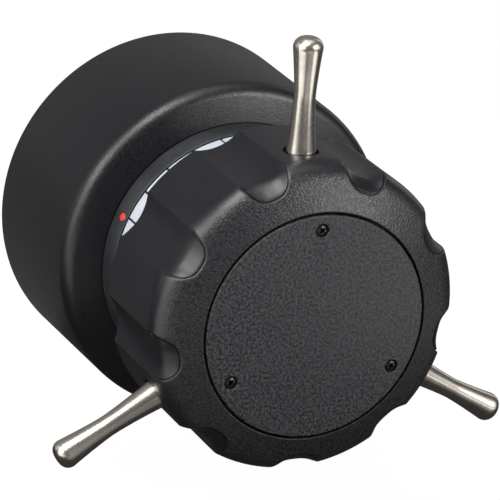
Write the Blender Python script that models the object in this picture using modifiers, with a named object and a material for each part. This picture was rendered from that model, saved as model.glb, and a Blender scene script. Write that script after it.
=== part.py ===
# Focus demand: a scalloped hand wheel with three spokes on a round drag unit.
# Metres, +Z up. The knob's axis is the Y axis, its front faces -Y, and the origin
# is on the axis in the plane of the mounting pad at the back.
# Depths are measured along the axis, backwards from the face of the front plate.

import math

import bmesh
import bpy
from mathutils import Matrix, Vector

# Fits and working gaps
SEAT_GAP = 0.0003
RUN_GAP = 0.0001
TURN_GAP = 0.0005
OVERRUN = 0.0015
MERGE_DISTANCE = 0.00001

# Scalloped knob
KNOB_RADIUS = 0.0500
KNOB_DEPTH = 0.0438
KNOB_FACE_WIDTH = 0.0136
KNOB_SHOULDER = 0.0085
KNOB_FACE_SLOPE = math.radians(24)
KNOB_LIP = 0.0004
KNOB_EDGE = 0.0006
KNOB_WEB = 0.0071
KNOB_RIM = 0.0135
KNOB_SPIGOT_WALL = 0.0033
KNOB_SPIGOT_GAP = 0.0017
GROOVE_COUNT = 9
GROOVE_HALF_WIDTH = 0.0090
GROOVE_DEPTH_FRONT = 0.0068
GROOVE_DEPTH_SHOULDER = 0.0041
GROOVE_DEPTH_BACK = 0.0026
GROOVE_STEP = 0.0005
GROOVE_FADE = 0.0014
GROOVE_BLEND = 0.0120

# Front plate and its screws
PLATE_RIM_GAP = 0.0008
PLATE_THICKNESS = 0.0026
PLATE_EDGE = 0.0003
PLATE_SCREW_INSET = 0.0048
PLATE_SCREW_RECESS_RADIUS = 0.0021
PLATE_SCREW_RECESS_DEPTH = 0.0015
PLATE_SCREW_HEAD_RADIUS = 0.0018
PLATE_SCREW_HEAD_HEIGHT = 0.0010
PLATE_SCREW_RADIUS = 0.0011
PLATE_SCREW_LENGTH = 0.0055

# Waisted spokes
SPOKE_COUNT = 3
SPOKE_LENGTH = 0.0357
SPOKE_BASE_RADIUS = 0.0048
SPOKE_WAIST_RADIUS = 0.0033
SPOKE_END_RADIUS = 0.0046
SPOKE_END_ROUND = 0.0034
SPOKE_SOCKET_DEPTH = 0.0022
SPOKE_SOCKET_GAP = 0.0007
SPOKE_STUD_RADIUS = 0.0024
SPOKE_STUD_WALL = 0.0015
SPOKE_AXIS_DEPTH = 0.01905

# Scale ring and the fixed index ring
SCALE_WALL = 0.0019
SCALE_LENGTH = 0.0148
SCALE_MARKS = 27
SCALE_MARK_WIDTH = 0.0008
SCALE_MARK_DEPTH = 0.00025
SCALE_MARK_LENGTH = 0.0085
SCALE_OFFSET = math.radians(1.33)
INDEX_STEP = 0.0002
INDEX_FLARE = 0.0014
INDEX_WALL = 0.0039
INDEX_LENGTH = 0.0059
INDEX_EDGE = 0.0003
INDEX_DOT_RADIUS = 0.0013
INDEX_DOT_LENGTH = 0.0020
INDEX_DOT_ANGLE = math.radians(-66.5)

# Housing and back cover
NOSE_SETBACK = 0.0008
NOSE_WALL = 0.0036
NOSE_SIDE_WALL = 0.0035
HOUSING_LENGTH = 0.0580
HOUSING_FACE_WIDTH = 0.0115
HOUSING_DRAFT = 0.0008
HOUSING_SHOULDER = 0.0052
HOUSING_FACE_SLOPE = math.radians(14)
HOUSING_FACE_WALL = 0.0066
HOUSING_WALL = 0.0030
HOUSING_EDGE = 0.0006
COVER_INSET = 0.0007
COVER_THICKNESS = 0.0030
COVER_SCREW_COUNT = 4
COVER_SCREW_RADIUS = 0.0015
COVER_SCREW_HEAD_RADIUS = 0.0028
COVER_SCREW_HEAD_HEIGHT = 0.0018
COVER_SCREW_LENGTH = 0.0110
COVER_BOSS_RADIUS = 0.0052
COVER_BOSS_BLEND = 0.0008
COVER_BOSS_LENGTH = 0.0190
PAD_RADIUS = 0.0220
PAD_HEIGHT = 0.0071
PAD_EDGE = 0.0008
PAD_HOLE_COUNT = 4
PAD_HOLE_CIRCLE = 0.0140
PAD_HOLE_RADIUS = 0.0021
PAD_HOLE_DEPTH = 0.0080

# Shaft, hub and their fasteners
SHAFT_RADIUS = 0.0050
SHAFT_COVER = 0.0030
SHAFT_TAIL = 0.0015
SHAFT_SCREW_RADIUS = 0.0020
SHAFT_SCREW_LENGTH = 0.0100
SHAFT_SCREW_HEAD_RADIUS = 0.0038
SHAFT_SCREW_HEAD_HEIGHT = 0.0025
HUB_FLANGE_GAP = 0.0025
HUB_FLANGE = 0.0040
HUB_SPIGOT_RADIUS = 0.0107
HUB_SPIGOT_LENGTH = 0.0050
HUB_NECK_WALL = 0.0034
HUB_BOSS_STEP = 0.0025
HUB_SCREW_COUNT = 3
HUB_SCREW_INSET = 0.0070
HUB_SCREW_RADIUS = 0.0015
HUB_SCREW_HEAD_RADIUS = 0.0027
HUB_SCREW_HEAD_HEIGHT = 0.0020
HUB_SCREW_ANGLE = math.radians(60)

# Drag unit: a conical spring presses a steel disc on a friction ring
DRAG_SPRING_HEIGHT = 0.0040
DRAG_SPRING_THICKNESS = 0.0008
DRAG_SPRING_WIDTH = 0.0057
DRAG_DISC_WIDTH = 0.0107
DRAG_DISC_THICKNESS = 0.0025
DRAG_PAD_THICKNESS = 0.0020
DRAG_PAD_GAP = 0.0017

# Bearing housing with two flanged bushes
BUSH_WALL = 0.0024
BUSH_LENGTH = 0.0100
BUSH_LIP = 0.0020
BUSH_FLANGE = 0.0012
TUBE_WALL = 0.0042
TUBE_REACH = 0.0184
TUBE_TAIL = 0.0020
TUBE_FRONT_LIP = 0.0005
TUBE_FRONT_FLANGE = 0.0030
TUBE_FLANGE_GAP = 0.0025
TUBE_FLANGE = 0.0040
TUBE_SCREW_COUNT = 3
TUBE_SCREW_INSET = 0.0055
TUBE_SCREW_RADIUS = 0.0015
TUBE_SCREW_HEAD_RADIUS = 0.0027
TUBE_SCREW_HEAD_HEIGHT = 0.0020
TUBE_SCREW_BITE = 0.0028

# Gear train to the position sensor
GEAR_MODULE = 0.0009
GEAR_TEETH = 42
PINION_TEETH = 14
GEAR_THICKNESS = 0.0040
GEAR_BACKLASH = 0.00014
GEAR_SEAT_WALL = 0.0024
GEAR_HUB_STEP = 0.0020
GEAR_HUB_LENGTH = 0.0035
GEAR_CLAMP_SCREW_RADIUS = 0.0012
PRESSURE_ANGLE = math.radians(20)
SENSOR_ANGLE = math.radians(90)
SENSOR_RADIUS = 0.0100
SENSOR_FRONT_SPACE = 0.0018
SENSOR_END_WALL = 0.0030
SENSOR_NECK_RADIUS = 0.0045
SENSOR_NECK_GAP = 0.0008
SENSOR_SHAFT_RADIUS = 0.0030
SENSOR_SHAFT_TAIL = 0.0015
SENSOR_NUT_FLATS = 0.0100
SENSOR_NUT_HEIGHT = 0.0022
CLIP_RIM = 0.0030
CLIP_THICKNESS = 0.0010
CLIP_GROOVE = 0.0007
CLIP_MOUTH = math.radians(70)

# End stop: a pin on the gear meets a fixed sector
STOP_PIN_RADIUS = 0.0015
STOP_PIN_GAP = 0.0008
STOP_BLOCK_GAP = 0.0006
STOP_BLOCK_RADIAL_GAP = 0.0010
STOP_BLOCK_WIDTH = 0.0040
STOP_TRAVEL = math.radians(135)

# Chassis plate, circuit board and their posts
CHASSIS_RIM_GAP = 0.0064
CHASSIS_THICKNESS = 0.0020
POST_COUNT = 3
POST_INSET = 0.0040
POST_RADIUS = 0.0035
POST_STUD_RADIUS = 0.0014
POST_STUD_LENGTH = 0.0058
POST_ANGLE = math.radians(30)
BOARD_POST_LENGTH = 0.0174
BOARD_THICKNESS = 0.0016
BOARD_REAR_SPACE = 0.0063
BOARD_NUT_FLATS = 0.0055
BOARD_NUT_HEIGHT = 0.0018
CHIP_SIZE = 0.0120
CHIP_HEIGHT = 0.0014
CABLE_RADIUS = 0.0010
CABLE_HOLE_RADIUS = 0.0020
CABLE_ANGLE = math.radians(45)

# Connector socket on the back cover
SOCKET_BORE_RADIUS = 0.0066
SOCKET_SLEEVE_WALL = 0.0019
SOCKET_FLANGE_LIP = 0.0010
SOCKET_FLANGE = 0.0020
SOCKET_LENGTH = 0.0065
SOCKET_TAIL_RADIUS = 0.0060
SOCKET_TAIL_LENGTH = 0.0066
SOCKET_NUT_FLATS = 0.0160
SOCKET_NUT_HEIGHT = 0.0022

# Facets round a full turn
STEPS_LARGE = 36
STEPS_MEDIUM = 20
STEPS_SPOKE = 16
STEPS_SMALL = 12
STEPS_TINY = 8

# Proportions within a piece
groove_section_shares = (0, 0.02, 0.06, 0.14, 0.34, 1.0)
spoke_waist_share = 0.56
index_dot_share = 0.40
screw_crown_share = 0.60
screw_dome_share = 0.30
screw_slot_length_share = 1.15
screw_slot_width_share = 0.26
screw_slot_depth_share = 0.90
tooth_root_share = 1.25
cable_outlet_share = 0.75
cable_lead_share = 0.50
cable_turn_share = 0.60

# Powers: 1 is straight, 2 a parabola, 3 and more ever squarer
GROOVE_FRONT_POWER = 3.8
GROOVE_BACK_POWER = 2.0
SPOKE_END_POWER = 1.35
SPOKE_BASE_POWER = 1.6

# Radii, from the knob out to the housing and in to the shaft
recess_radius = KNOB_RADIUS - KNOB_FACE_WIDTH
plate_radius = recess_radius - PLATE_RIM_GAP
plate_screw_circle = plate_radius - PLATE_SCREW_INSET
knob_lip_radius = recess_radius + KNOB_LIP
groove_tip_radius = KNOB_RADIUS - GROOVE_DEPTH_FRONT
groove_floor_front = KNOB_RADIUS - GROOVE_DEPTH_SHOULDER
groove_floor_back = KNOB_RADIUS - GROOVE_DEPTH_BACK
spoke_reach = KNOB_RADIUS + SPOKE_LENGTH
cavity_radius = KNOB_RADIUS - KNOB_RIM
spigot_radius = cavity_radius + KNOB_SPIGOT_WALL
scale_radius = spigot_radius + SEAT_GAP + SCALE_WALL
index_front_radius = scale_radius + INDEX_STEP
index_back_radius = index_front_radius + INDEX_FLARE
nose_radius = index_front_radius - INDEX_WALL - SEAT_GAP
nose_cavity_radius = nose_radius - NOSE_SIDE_WALL
housing_front_radius = index_back_radius + SEAT_GAP + HOUSING_FACE_WIDTH
housing_back_radius = housing_front_radius + HOUSING_DRAFT
housing_inner_radius = housing_front_radius - HOUSING_WALL
cover_radius = housing_inner_radius - SEAT_GAP
cover_screw_circle = housing_inner_radius + COVER_BOSS_BLEND - COVER_BOSS_RADIUS
socket_circle = (PAD_RADIUS + cover_radius) / 2
socket_sleeve_radius = SOCKET_BORE_RADIUS + SOCKET_SLEEVE_WALL
socket_flange_radius = socket_sleeve_radius + SOCKET_FLANGE_LIP
chassis_radius = housing_inner_radius - CHASSIS_RIM_GAP
board_radius = cover_screw_circle - COVER_BOSS_RADIUS - SEAT_GAP
post_circle = board_radius - POST_INSET
hub_flange_radius = cavity_radius - HUB_FLANGE_GAP
hub_screw_circle = hub_flange_radius - HUB_SCREW_INSET
shaft_bore = SHAFT_RADIUS + RUN_GAP
hub_neck_radius = shaft_bore + HUB_NECK_WALL
hub_boss_radius = hub_neck_radius + HUB_BOSS_STEP
neck_bore = hub_neck_radius + SEAT_GAP
drag_spring_radius = neck_bore + DRAG_SPRING_WIDTH
drag_disc_radius = neck_bore + DRAG_DISC_WIDTH
bush_outer = shaft_bore + BUSH_WALL
bush_flange_radius = bush_outer + BUSH_LIP
drag_pad_bore = bush_flange_radius + DRAG_PAD_GAP
tube_bore = bush_outer + SEAT_GAP
tube_radius = tube_bore + TUBE_WALL
tube_front_flange_radius = drag_disc_radius + TUBE_FRONT_LIP
tube_flange_radius = nose_cavity_radius - TUBE_FLANGE_GAP
tube_screw_circle = tube_flange_radius - TUBE_SCREW_INSET
gear_seat_radius = shaft_bore + GEAR_SEAT_WALL
gear_hub_radius = gear_seat_radius + GEAR_HUB_STEP
gear_centres = GEAR_MODULE * (GEAR_TEETH + PINION_TEETH) / 2
clip_radius = SHAFT_RADIUS + CLIP_RIM
stop_block_inner = tube_radius + STOP_BLOCK_RADIAL_GAP
stop_circle = stop_block_inner + STOP_BLOCK_WIDTH / 2

# Depths from the front plate's face, first the parts that show
recess_floor = PLATE_THICKNESS + SEAT_GAP
web_back = recess_floor + KNOB_WEB
groove_tip_depth = KNOB_LIP + (groove_tip_radius - knob_lip_radius) * math.tan(KNOB_FACE_SLOPE)
groove_start = groove_tip_depth + GROOVE_STEP
scale_front = KNOB_DEPTH + SEAT_GAP
scale_back = scale_front + SCALE_LENGTH
index_front = scale_back + TURN_GAP
index_back = index_front + INDEX_LENGTH
face_seat = index_back + SEAT_GAP
nose_front = index_front + NOSE_SETBACK
spigot_back = nose_front - KNOB_SPIGOT_GAP
housing_inner_face = face_seat + HOUSING_FACE_WALL
housing_back = face_seat + HOUSING_LENGTH
cover_outer = housing_back - COVER_INSET
cover_inner = cover_outer - COVER_THICKNESS
boss_back = cover_inner - SEAT_GAP
pad_face = cover_outer + PAD_HEIGHT

# Depths of the board and chassis, forwards from the back cover
board_back = cover_inner - BOARD_REAR_SPACE
board_front = board_back - BOARD_THICKNESS
board_post_back = board_front - SEAT_GAP
board_post_front = board_post_back - BOARD_POST_LENGTH
chassis_back = board_post_front - SEAT_GAP
chassis_front = chassis_back - CHASSIS_THICKNESS

# Depths of the bearing housing and the drag unit before it
flange_front = nose_front + NOSE_WALL + SEAT_GAP
flange_back = flange_front + TUBE_FLANGE
tube_front = flange_front - TUBE_REACH
tube_back = chassis_back + TUBE_TAIL
front_bush_flange = tube_front - SEAT_GAP - BUSH_FLANGE
rear_bush_flange_back = tube_back + SEAT_GAP + BUSH_FLANGE
pad_ring_back = tube_front - SEAT_GAP
pad_ring_front = pad_ring_back - DRAG_PAD_THICKNESS
disc_back = pad_ring_front - SEAT_GAP
disc_front = disc_back - DRAG_DISC_THICKNESS
spring_back = disc_front - SEAT_GAP
spring_front = spring_back - DRAG_SPRING_HEIGHT
hub_front = web_back + SEAT_GAP
hub_boss_front = hub_front + HUB_FLANGE
hub_boss_back = spring_front - SEAT_GAP
hub_neck_back = front_bush_flange - SEAT_GAP
hub_spigot_front = hub_front - HUB_SPIGOT_LENGTH

# Depths of the gear train and the shaft's ends
gear_front = rear_bush_flange_back + TURN_GAP
gear_back = gear_front + GEAR_THICKNESS
gear_hub_back = gear_back + GEAR_HUB_LENGTH
clip_front = gear_hub_back + SEAT_GAP
clip_back = clip_front + CLIP_THICKNESS
shaft_front = hub_spigot_front + SHAFT_SCREW_HEAD_HEIGHT + SHAFT_COVER + SEAT_GAP
shaft_back = clip_back + SEAT_GAP + SHAFT_TAIL
sensor_back = chassis_front - SEAT_GAP
sensor_front = housing_inner_face + SENSOR_FRONT_SPACE

spoke_angles = [math.tau * i / SPOKE_COUNT for i in range(SPOKE_COUNT)]


# Scene and materials

def clear_scene():
    for item in list(bpy.data.objects):
        bpy.data.objects.remove(item, do_unlink=True)


def new_collection(name):
    collection = bpy.data.collections.new(name)
    bpy.context.scene.collection.children.link(collection)
    return collection


def new_material(name, color, roughness, metallic=0.0):
    material = bpy.data.materials.new(name)
    material.use_nodes = True
    shader = material.node_tree.nodes["Principled BSDF"]
    shader.inputs["Base Color"].default_value = (*color, 1.0)
    shader.inputs["Roughness"].default_value = roughness
    shader.inputs["Metallic"].default_value = metallic
    material.diffuse_color = (*color, 1.0)
    return material


clear_scene()
parts = new_collection("focus_demand")
cutters = new_collection("cutters")

black_housing = new_material("black_housing", (0.022, 0.023, 0.024), 0.48)
black_knob = new_material("black_knob", (0.020, 0.020, 0.023), 0.45)
black_plate = new_material("black_plate", (0.040, 0.041, 0.042), 0.60)
grey_ring = new_material("grey_ring", (0.045, 0.048, 0.050), 0.42)
white_scale = new_material("white_scale", (0.62, 0.65, 0.70), 0.50)
red_mark = new_material("red_mark", (0.55, 0.03, 0.02), 0.45)
satin_nickel = new_material("satin_nickel", (0.62, 0.57, 0.50), 0.26, 1.0)
black_steel = new_material("black_steel", (0.03, 0.03, 0.03), 0.40, 1.0)
bare_steel = new_material("bare_steel", (0.50, 0.50, 0.50), 0.35, 1.0)
bare_aluminium = new_material("bare_aluminium", (0.62, 0.63, 0.64), 0.38, 1.0)
bronze = new_material("bronze", (0.55, 0.36, 0.16), 0.42, 1.0)
brass = new_material("brass", (0.62, 0.46, 0.20), 0.36, 1.0)
friction_fibre = new_material("friction_fibre", (0.16, 0.13, 0.10), 0.90)
green_board = new_material("green_board", (0.02, 0.14, 0.07), 0.45)
dark_plastic = new_material("dark_plastic", (0.03, 0.03, 0.03), 0.55)


def new_empty(name, location):
    empty = bpy.data.objects.new(name, None)
    empty.location = location
    parts.objects.link(empty)
    return empty


def at_depth(depth):
    return depth - pad_face


def polar(radius, angle, depth):
    return Vector((radius * math.sin(angle), at_depth(depth), radius * math.cos(angle)))


# Turns a piece's own +Z to face the front of the object
FACE_FRONT = Matrix.Rotation(math.pi / 2, 4, "X")

knob_axis = new_empty("knob_axis", (0, at_depth(0), 0))
sensor_axis = new_empty("sensor_axis", polar(gear_centres, SENSOR_ANGLE, gear_front))


def finish_piece(item, material, axis=None):
    if material:
        item.data.materials.clear()
        item.data.materials.append(material)
    if axis:
        bpy.context.view_layer.update()
        placed = item.matrix_world.copy()
        item.parent = axis
        item.matrix_parent_inverse = axis.matrix_world.inverted()
        item.matrix_world = placed
    return item


def shade(item):
    item.data.shade_smooth()
    item.data.set_sharp_from_angle(angle=math.radians(32))


# Turned pieces: points are (radius, depth), from the front down the outer side

def turned(name, points, material, steps=STEPS_MEDIUM, axis=None, closed=False,
           centre=None, frame=FACE_FRONT, group=None):
    centre = centre or Vector((0, at_depth(0), 0))
    mesh = bpy.data.meshes.new(name)
    verts = [(radius, 0, -depth) for radius, depth in points]
    edges = [(i, i + 1) for i in range(len(points) - 1)]
    if closed:
        edges.append((len(points) - 1, 0))
    mesh.from_pydata(verts, edges, [])
    item = bpy.data.objects.new(name, mesh)
    (group or parts).objects.link(item)
    item.matrix_world = Matrix.Translation(centre) @ frame
    screw = item.modifiers.new("turn", "SCREW")
    screw.axis = "Z"
    screw.angle = math.tau
    screw.steps = steps
    screw.render_steps = steps
    screw.use_merge_vertices = True
    screw.merge_threshold = MERGE_DISTANCE
    screw.use_smooth_shade = False
    return finish_piece(item, material, axis)


def shift(points, depth):
    return [(radius, place + depth) for radius, place in points]


def sloped_shoulder(inner_radius, inner_depth, slope, outer_radius, round_radius, count=4):
    centre_radius = outer_radius - round_radius
    start_radius = centre_radius + round_radius * math.sin(slope)
    start_depth = inner_depth + (start_radius - inner_radius) * math.tan(slope)
    centre_depth = start_depth + round_radius * math.cos(slope)
    points = []
    for i in range(count + 1):
        angle = slope + (math.pi / 2 - slope) * i / count
        points.append((centre_radius + round_radius * math.sin(angle),
                       centre_depth - round_radius * math.cos(angle)))
    return points


# Cutters

def as_cutter(item):
    item.hide_render = True
    item.display_type = "WIRE"
    return item


def mesh_cutter(name, build):
    mesh = bpy.data.meshes.new(name)
    work = bmesh.new()
    build(work)
    work.to_mesh(mesh)
    work.free()
    item = bpy.data.objects.new(name, mesh)
    cutters.objects.link(item)
    return as_cutter(item)


def axial_holes(name, circle, angles, radius, front, back, steps=STEPS_TINY):
    def build(work):
        for angle in angles:
            middle = polar(circle, angle, (front + back) / 2)
            bmesh.ops.create_cone(
                work, cap_ends=True, segments=steps, radius1=radius, radius2=radius,
                depth=back - front, matrix=Matrix.Translation(middle) @ FACE_FRONT)
    return mesh_cutter(name, build)


def radial_holes(name, angles, depth, radius, start, end, steps=STEPS_SMALL):
    def build(work):
        for angle in angles:
            middle = polar((start + end) / 2, angle, depth)
            bmesh.ops.create_cone(
                work, cap_ends=True, segments=steps, radius1=radius, radius2=radius,
                depth=end - start,
                matrix=Matrix.Translation(middle) @ Matrix.Rotation(angle, 4, "Y"))
    return mesh_cutter(name, build)


def boxes(name, places, size):
    def build(work):
        for place in places:
            bmesh.ops.create_cube(work, size=1, matrix=place @ Matrix.Diagonal((*size, 1)))
    return mesh_cutter(name, build)


def cut(item, cutter, operation="DIFFERENCE"):
    modifier = item.modifiers.new(cutter.name, "BOOLEAN")
    modifier.operation = operation
    modifier.solver = "EXACT"
    modifier.object = cutter
    return item


def spread(count, start=0.0):
    return [start + math.tau * i / count for i in range(count)]


# Flat pieces: outlines in the X-Z plane, extruded along the axis

def flat_piece(name, outlines, front, thickness, material, axis=None, centre=(0, 0)):
    curve = bpy.data.curves.new(name, "CURVE")
    curve.dimensions = "2D"
    curve.fill_mode = "BOTH"
    curve.extrude = thickness / 2
    for outline in outlines:
        spline = curve.splines.new("POLY")
        spline.points.add(len(outline) - 1)
        for point, (x, y) in zip(spline.points, outline):
            point.co = (x, y, 0, 1)
        spline.use_cyclic_u = True
    source = bpy.data.objects.new(name + "_outline", curve)
    parts.objects.link(source)
    bpy.context.view_layer.update()
    graph = bpy.context.evaluated_depsgraph_get()
    mesh = bpy.data.meshes.new_from_object(source.evaluated_get(graph))
    bpy.data.objects.remove(source, do_unlink=True)
    work = bmesh.new()
    work.from_mesh(mesh)
    bmesh.ops.remove_doubles(work, verts=work.verts, dist=MERGE_DISTANCE)
    bmesh.ops.recalc_face_normals(work, faces=work.faces)
    work.to_mesh(mesh)
    work.free()
    mesh.name = name
    item = bpy.data.objects.new(name, mesh)
    parts.objects.link(item)
    place = Vector((centre[0], at_depth(front + thickness / 2), centre[1]))
    item.matrix_world = Matrix.Translation(place) @ FACE_FRONT
    return finish_piece(item, material, axis)


def circle_outline(radius, count, centre=(0, 0)):
    return [(centre[0] + radius * math.cos(math.tau * i / count),
             centre[1] + radius * math.sin(math.tau * i / count)) for i in range(count)]


def hexagon(flats):
    corner = flats / math.sqrt(3)
    return circle_outline(corner, 6)


def place_on_circle(radius, angle):
    return (radius * math.sin(angle), radius * math.cos(angle))


# Involute gear outline, with a tooth centred on the given angle

def gear_outline(teeth, phase, flank_points=2):
    pitch = GEAR_MODULE * teeth / 2
    base = pitch * math.cos(PRESSURE_ANGLE)
    tip = pitch + GEAR_MODULE
    root = pitch - tooth_root_share * GEAR_MODULE
    half_tooth = math.pi / (2 * teeth) - GEAR_BACKLASH / (2 * pitch)
    involute = math.tan(PRESSURE_ANGLE) - PRESSURE_ANGLE
    start = max(base, root)
    outline = []
    for tooth in range(teeth):
        middle = phase + math.tau * tooth / teeth
        flank = []
        for i in range(flank_points):
            radius = start + (tip - start) * i / (flank_points - 1)
            roll = math.acos(min(1.0, base / radius))
            spread_angle = half_tooth + involute - (math.tan(roll) - roll)
            flank.append((radius, spread_angle))
        root_angle = flank[0][1]
        rise = [(root, root_angle)] if root < start else []
        side = rise + flank
        for radius, angle in side:
            outline.append((radius * math.cos(middle - angle), radius * math.sin(middle - angle)))
        for radius, angle in reversed(side):
            outline.append((radius * math.cos(middle + angle), radius * math.sin(middle + angle)))
    return outline


# Screws: a pan head on a plain shank, with a cross recess where it shows

def pan_screw(name, circle, angle, head_front, head_radius, head_height, radius, length,
              material, axis=None, faces_front=True, recess=True):
    frame = FACE_FRONT if faces_front else FACE_FRONT @ Matrix.Rotation(math.pi, 4, "X")
    dome = head_height * screw_dome_share
    crown = head_radius * screw_crown_share
    points = [(0, 0), (crown, 0), (head_radius, dome), (head_radius, head_height),
              (radius, head_height), (radius, head_height + length), (0, head_height + length)]
    item = turned(name, points, material, STEPS_TINY, centre=polar(circle, angle, head_front),
                  frame=frame)
    if not recess:
        return finish_piece(item, material, axis)
    place = Matrix.Translation(item.matrix_world.translation) @ frame
    slot_width = head_radius * screw_slot_width_share
    slot_length = head_radius * screw_slot_length_share
    slot_depth = head_height * screw_slot_depth_share
    places = [place, place @ Matrix.Rotation(math.pi / 2, 4, "Z")]
    cut(item, boxes(name + "_recess", places[:1], (slot_length, slot_width, slot_depth)))
    cut(item, boxes(name + "_recess_across", places[1:], (slot_length, slot_width, slot_depth)))
    return finish_piece(item, material, axis)


# Knob: a turned body with tapering finger grooves, loft cut. Each groove starts at
# a small step in the sloping face, rounds over like the knob's own shoulder and
# gets shallower and rounder towards the back.

def groove_floor(depth):
    run = max(depth - groove_start, 0)
    rise = (groove_floor_back - groove_floor_front) * run / (KNOB_DEPTH - groove_start)
    shoulder = (groove_floor_front - groove_tip_radius) * math.exp(-run / GROOVE_FADE)
    return groove_floor_front + rise - shoulder


def groove_power(depth):
    fade = math.exp(-max(depth - groove_start, 0) / GROOVE_BLEND)
    return GROOVE_BACK_POWER + (GROOVE_FRONT_POWER - GROOVE_BACK_POWER) * fade


def groove_section(depth, across=8):
    floor = groove_floor(depth)
    power = groove_power(depth)
    wall = KNOB_RADIUS - floor
    half_width = GROOVE_HALF_WIDTH * ((wall + OVERRUN) / wall) ** (1 / power)
    points = []
    for i in range(across + 1):
        share = math.sin(math.pi * (i / across - 1 / 2))
        side = half_width * share
        points.append((side, floor + (wall + OVERRUN) * abs(share) ** power))
    return points


def groove_cutter():
    reach = KNOB_DEPTH + OVERRUN - groove_start
    depths = [-OVERRUN] + [groove_start + reach * share for share in groove_section_shares]
    count = len(groove_section(groove_start))

    def build(work):
        for angle in spread(GROOVE_COUNT, math.pi / GROOVE_COUNT):
            turn = Matrix.Rotation(angle, 4, "Y")
            rings = []
            for depth in depths:
                rings.append([work.verts.new(turn @ Vector((side, at_depth(depth), radius)))
                              for side, radius in groove_section(depth)])
            for front, back in zip(rings, rings[1:]):
                for i in range(count):
                    j = (i + 1) % count
                    work.faces.new((front[i], front[j], back[j], back[i]))
            work.faces.new(rings[0])
            work.faces.new(list(reversed(rings[-1])))
        bmesh.ops.recalc_face_normals(work, faces=work.faces)

    return mesh_cutter("finger_grooves", build)


def make_knob():
    bore = HUB_SPIGOT_RADIUS + SEAT_GAP
    points = [(bore, recess_floor), (recess_radius, recess_floor),
              (recess_radius, 2 * KNOB_LIP), (knob_lip_radius, KNOB_LIP)]
    points += sloped_shoulder(knob_lip_radius, KNOB_LIP, KNOB_FACE_SLOPE, KNOB_RADIUS, KNOB_SHOULDER)
    points += [(KNOB_RADIUS, KNOB_DEPTH - KNOB_EDGE), (KNOB_RADIUS - KNOB_EDGE, KNOB_DEPTH),
               (spigot_radius, KNOB_DEPTH), (spigot_radius, spigot_back),
               (cavity_radius, spigot_back), (cavity_radius, web_back),
               (bore, web_back)]
    knob = turned("knob_body", points, black_knob, STEPS_LARGE, knob_axis, closed=True)
    cut(knob, groove_cutter())
    socket_start = KNOB_RADIUS - SPOKE_SOCKET_DEPTH
    cut(knob, radial_holes("spoke_sockets", spoke_angles, SPOKE_AXIS_DEPTH,
                           SPOKE_BASE_RADIUS + SPOKE_SOCKET_GAP, socket_start,
                           KNOB_RADIUS + OVERRUN))
    cut(knob, radial_holes("spoke_threads", spoke_angles, SPOKE_AXIS_DEPTH,
                           SPOKE_STUD_RADIUS + SEAT_GAP,
                           cavity_radius + SPOKE_STUD_WALL, socket_start + OVERRUN))
    cut(knob, axial_holes("plate_screw_threads", plate_screw_circle, spoke_angles,
                          PLATE_SCREW_RADIUS + SEAT_GAP, recess_floor - OVERRUN,
                          recess_floor + PLATE_SCREW_LENGTH))
    hub_angles = spread(HUB_SCREW_COUNT, HUB_SCREW_ANGLE)
    cut(knob, axial_holes("hub_screw_seats", hub_screw_circle, hub_angles,
                          HUB_SCREW_HEAD_RADIUS + SEAT_GAP, recess_floor - OVERRUN,
                          recess_floor + HUB_SCREW_HEAD_HEIGHT + SEAT_GAP))
    cut(knob, axial_holes("hub_screw_holes", hub_screw_circle, hub_angles,
                          HUB_SCREW_RADIUS + SEAT_GAP, recess_floor, web_back + OVERRUN))
    return knob


def make_front_plate():
    points = [(0, 0), (plate_radius - PLATE_EDGE, 0), (plate_radius, PLATE_EDGE),
              (plate_radius, PLATE_THICKNESS), (0, PLATE_THICKNESS)]
    plate = turned("front_plate", points, black_plate, STEPS_LARGE, knob_axis)
    cut(plate, axial_holes("plate_screw_seats", plate_screw_circle, spoke_angles,
                           PLATE_SCREW_RECESS_RADIUS, -OVERRUN, PLATE_SCREW_RECESS_DEPTH,
                           STEPS_SMALL))
    cut(plate, axial_holes("plate_screw_holes", plate_screw_circle, spoke_angles,
                           PLATE_SCREW_RADIUS + SEAT_GAP, 0, PLATE_THICKNESS + OVERRUN))
    head_front = PLATE_SCREW_RECESS_DEPTH - SEAT_GAP - PLATE_SCREW_HEAD_HEIGHT
    for i, angle in enumerate(spoke_angles):
        pan_screw(f"plate_screw_{i + 1}", plate_screw_circle, angle, head_front,
                  PLATE_SCREW_HEAD_RADIUS, PLATE_SCREW_HEAD_HEIGHT, PLATE_SCREW_RADIUS,
                  PLATE_SCREW_LENGTH, black_steel, knob_axis)


# Spokes: a rounded end, a slim waist and a flared base on a threaded stud

def spoke_run(waist, end, end_radius, power, count=4):
    points = []
    for i in range(count + 1):
        share = i / count
        radius = SPOKE_WAIST_RADIUS + (end_radius - SPOKE_WAIST_RADIUS) * share ** power
        points.append((radius, -(waist + (end - waist) * share)))
    return points


def make_spokes():
    base = KNOB_RADIUS - SPOKE_SOCKET_DEPTH + SEAT_GAP
    bulb = spoke_reach - SPOKE_END_ROUND
    waist = base + (bulb - base) * spoke_waist_share
    stud_end = cavity_radius + SPOKE_STUD_WALL + SEAT_GAP
    points = []
    count = 4
    for i in range(count):
        angle = math.pi / 2 * i / count
        points.append((SPOKE_END_RADIUS * math.sin(angle),
                       -(bulb + SPOKE_END_ROUND * math.cos(angle))))
    points += reversed(spoke_run(waist, bulb, SPOKE_END_RADIUS, SPOKE_END_POWER))
    points += spoke_run(waist, base, SPOKE_BASE_RADIUS, SPOKE_BASE_POWER)[1:]
    points += [(SPOKE_STUD_RADIUS, -base), (SPOKE_STUD_RADIUS, -stud_end), (0, -stud_end)]
    for i, angle in enumerate(spoke_angles):
        frame = Matrix.Rotation(angle, 4, "Y")
        turned(f"spoke_{i + 1}", points, satin_nickel, STEPS_SPOKE, knob_axis,
               centre=Vector((0, at_depth(SPOKE_AXIS_DEPTH), 0)), frame=frame)


# Scale ring with engraved graduations, and the fixed index ring

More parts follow.
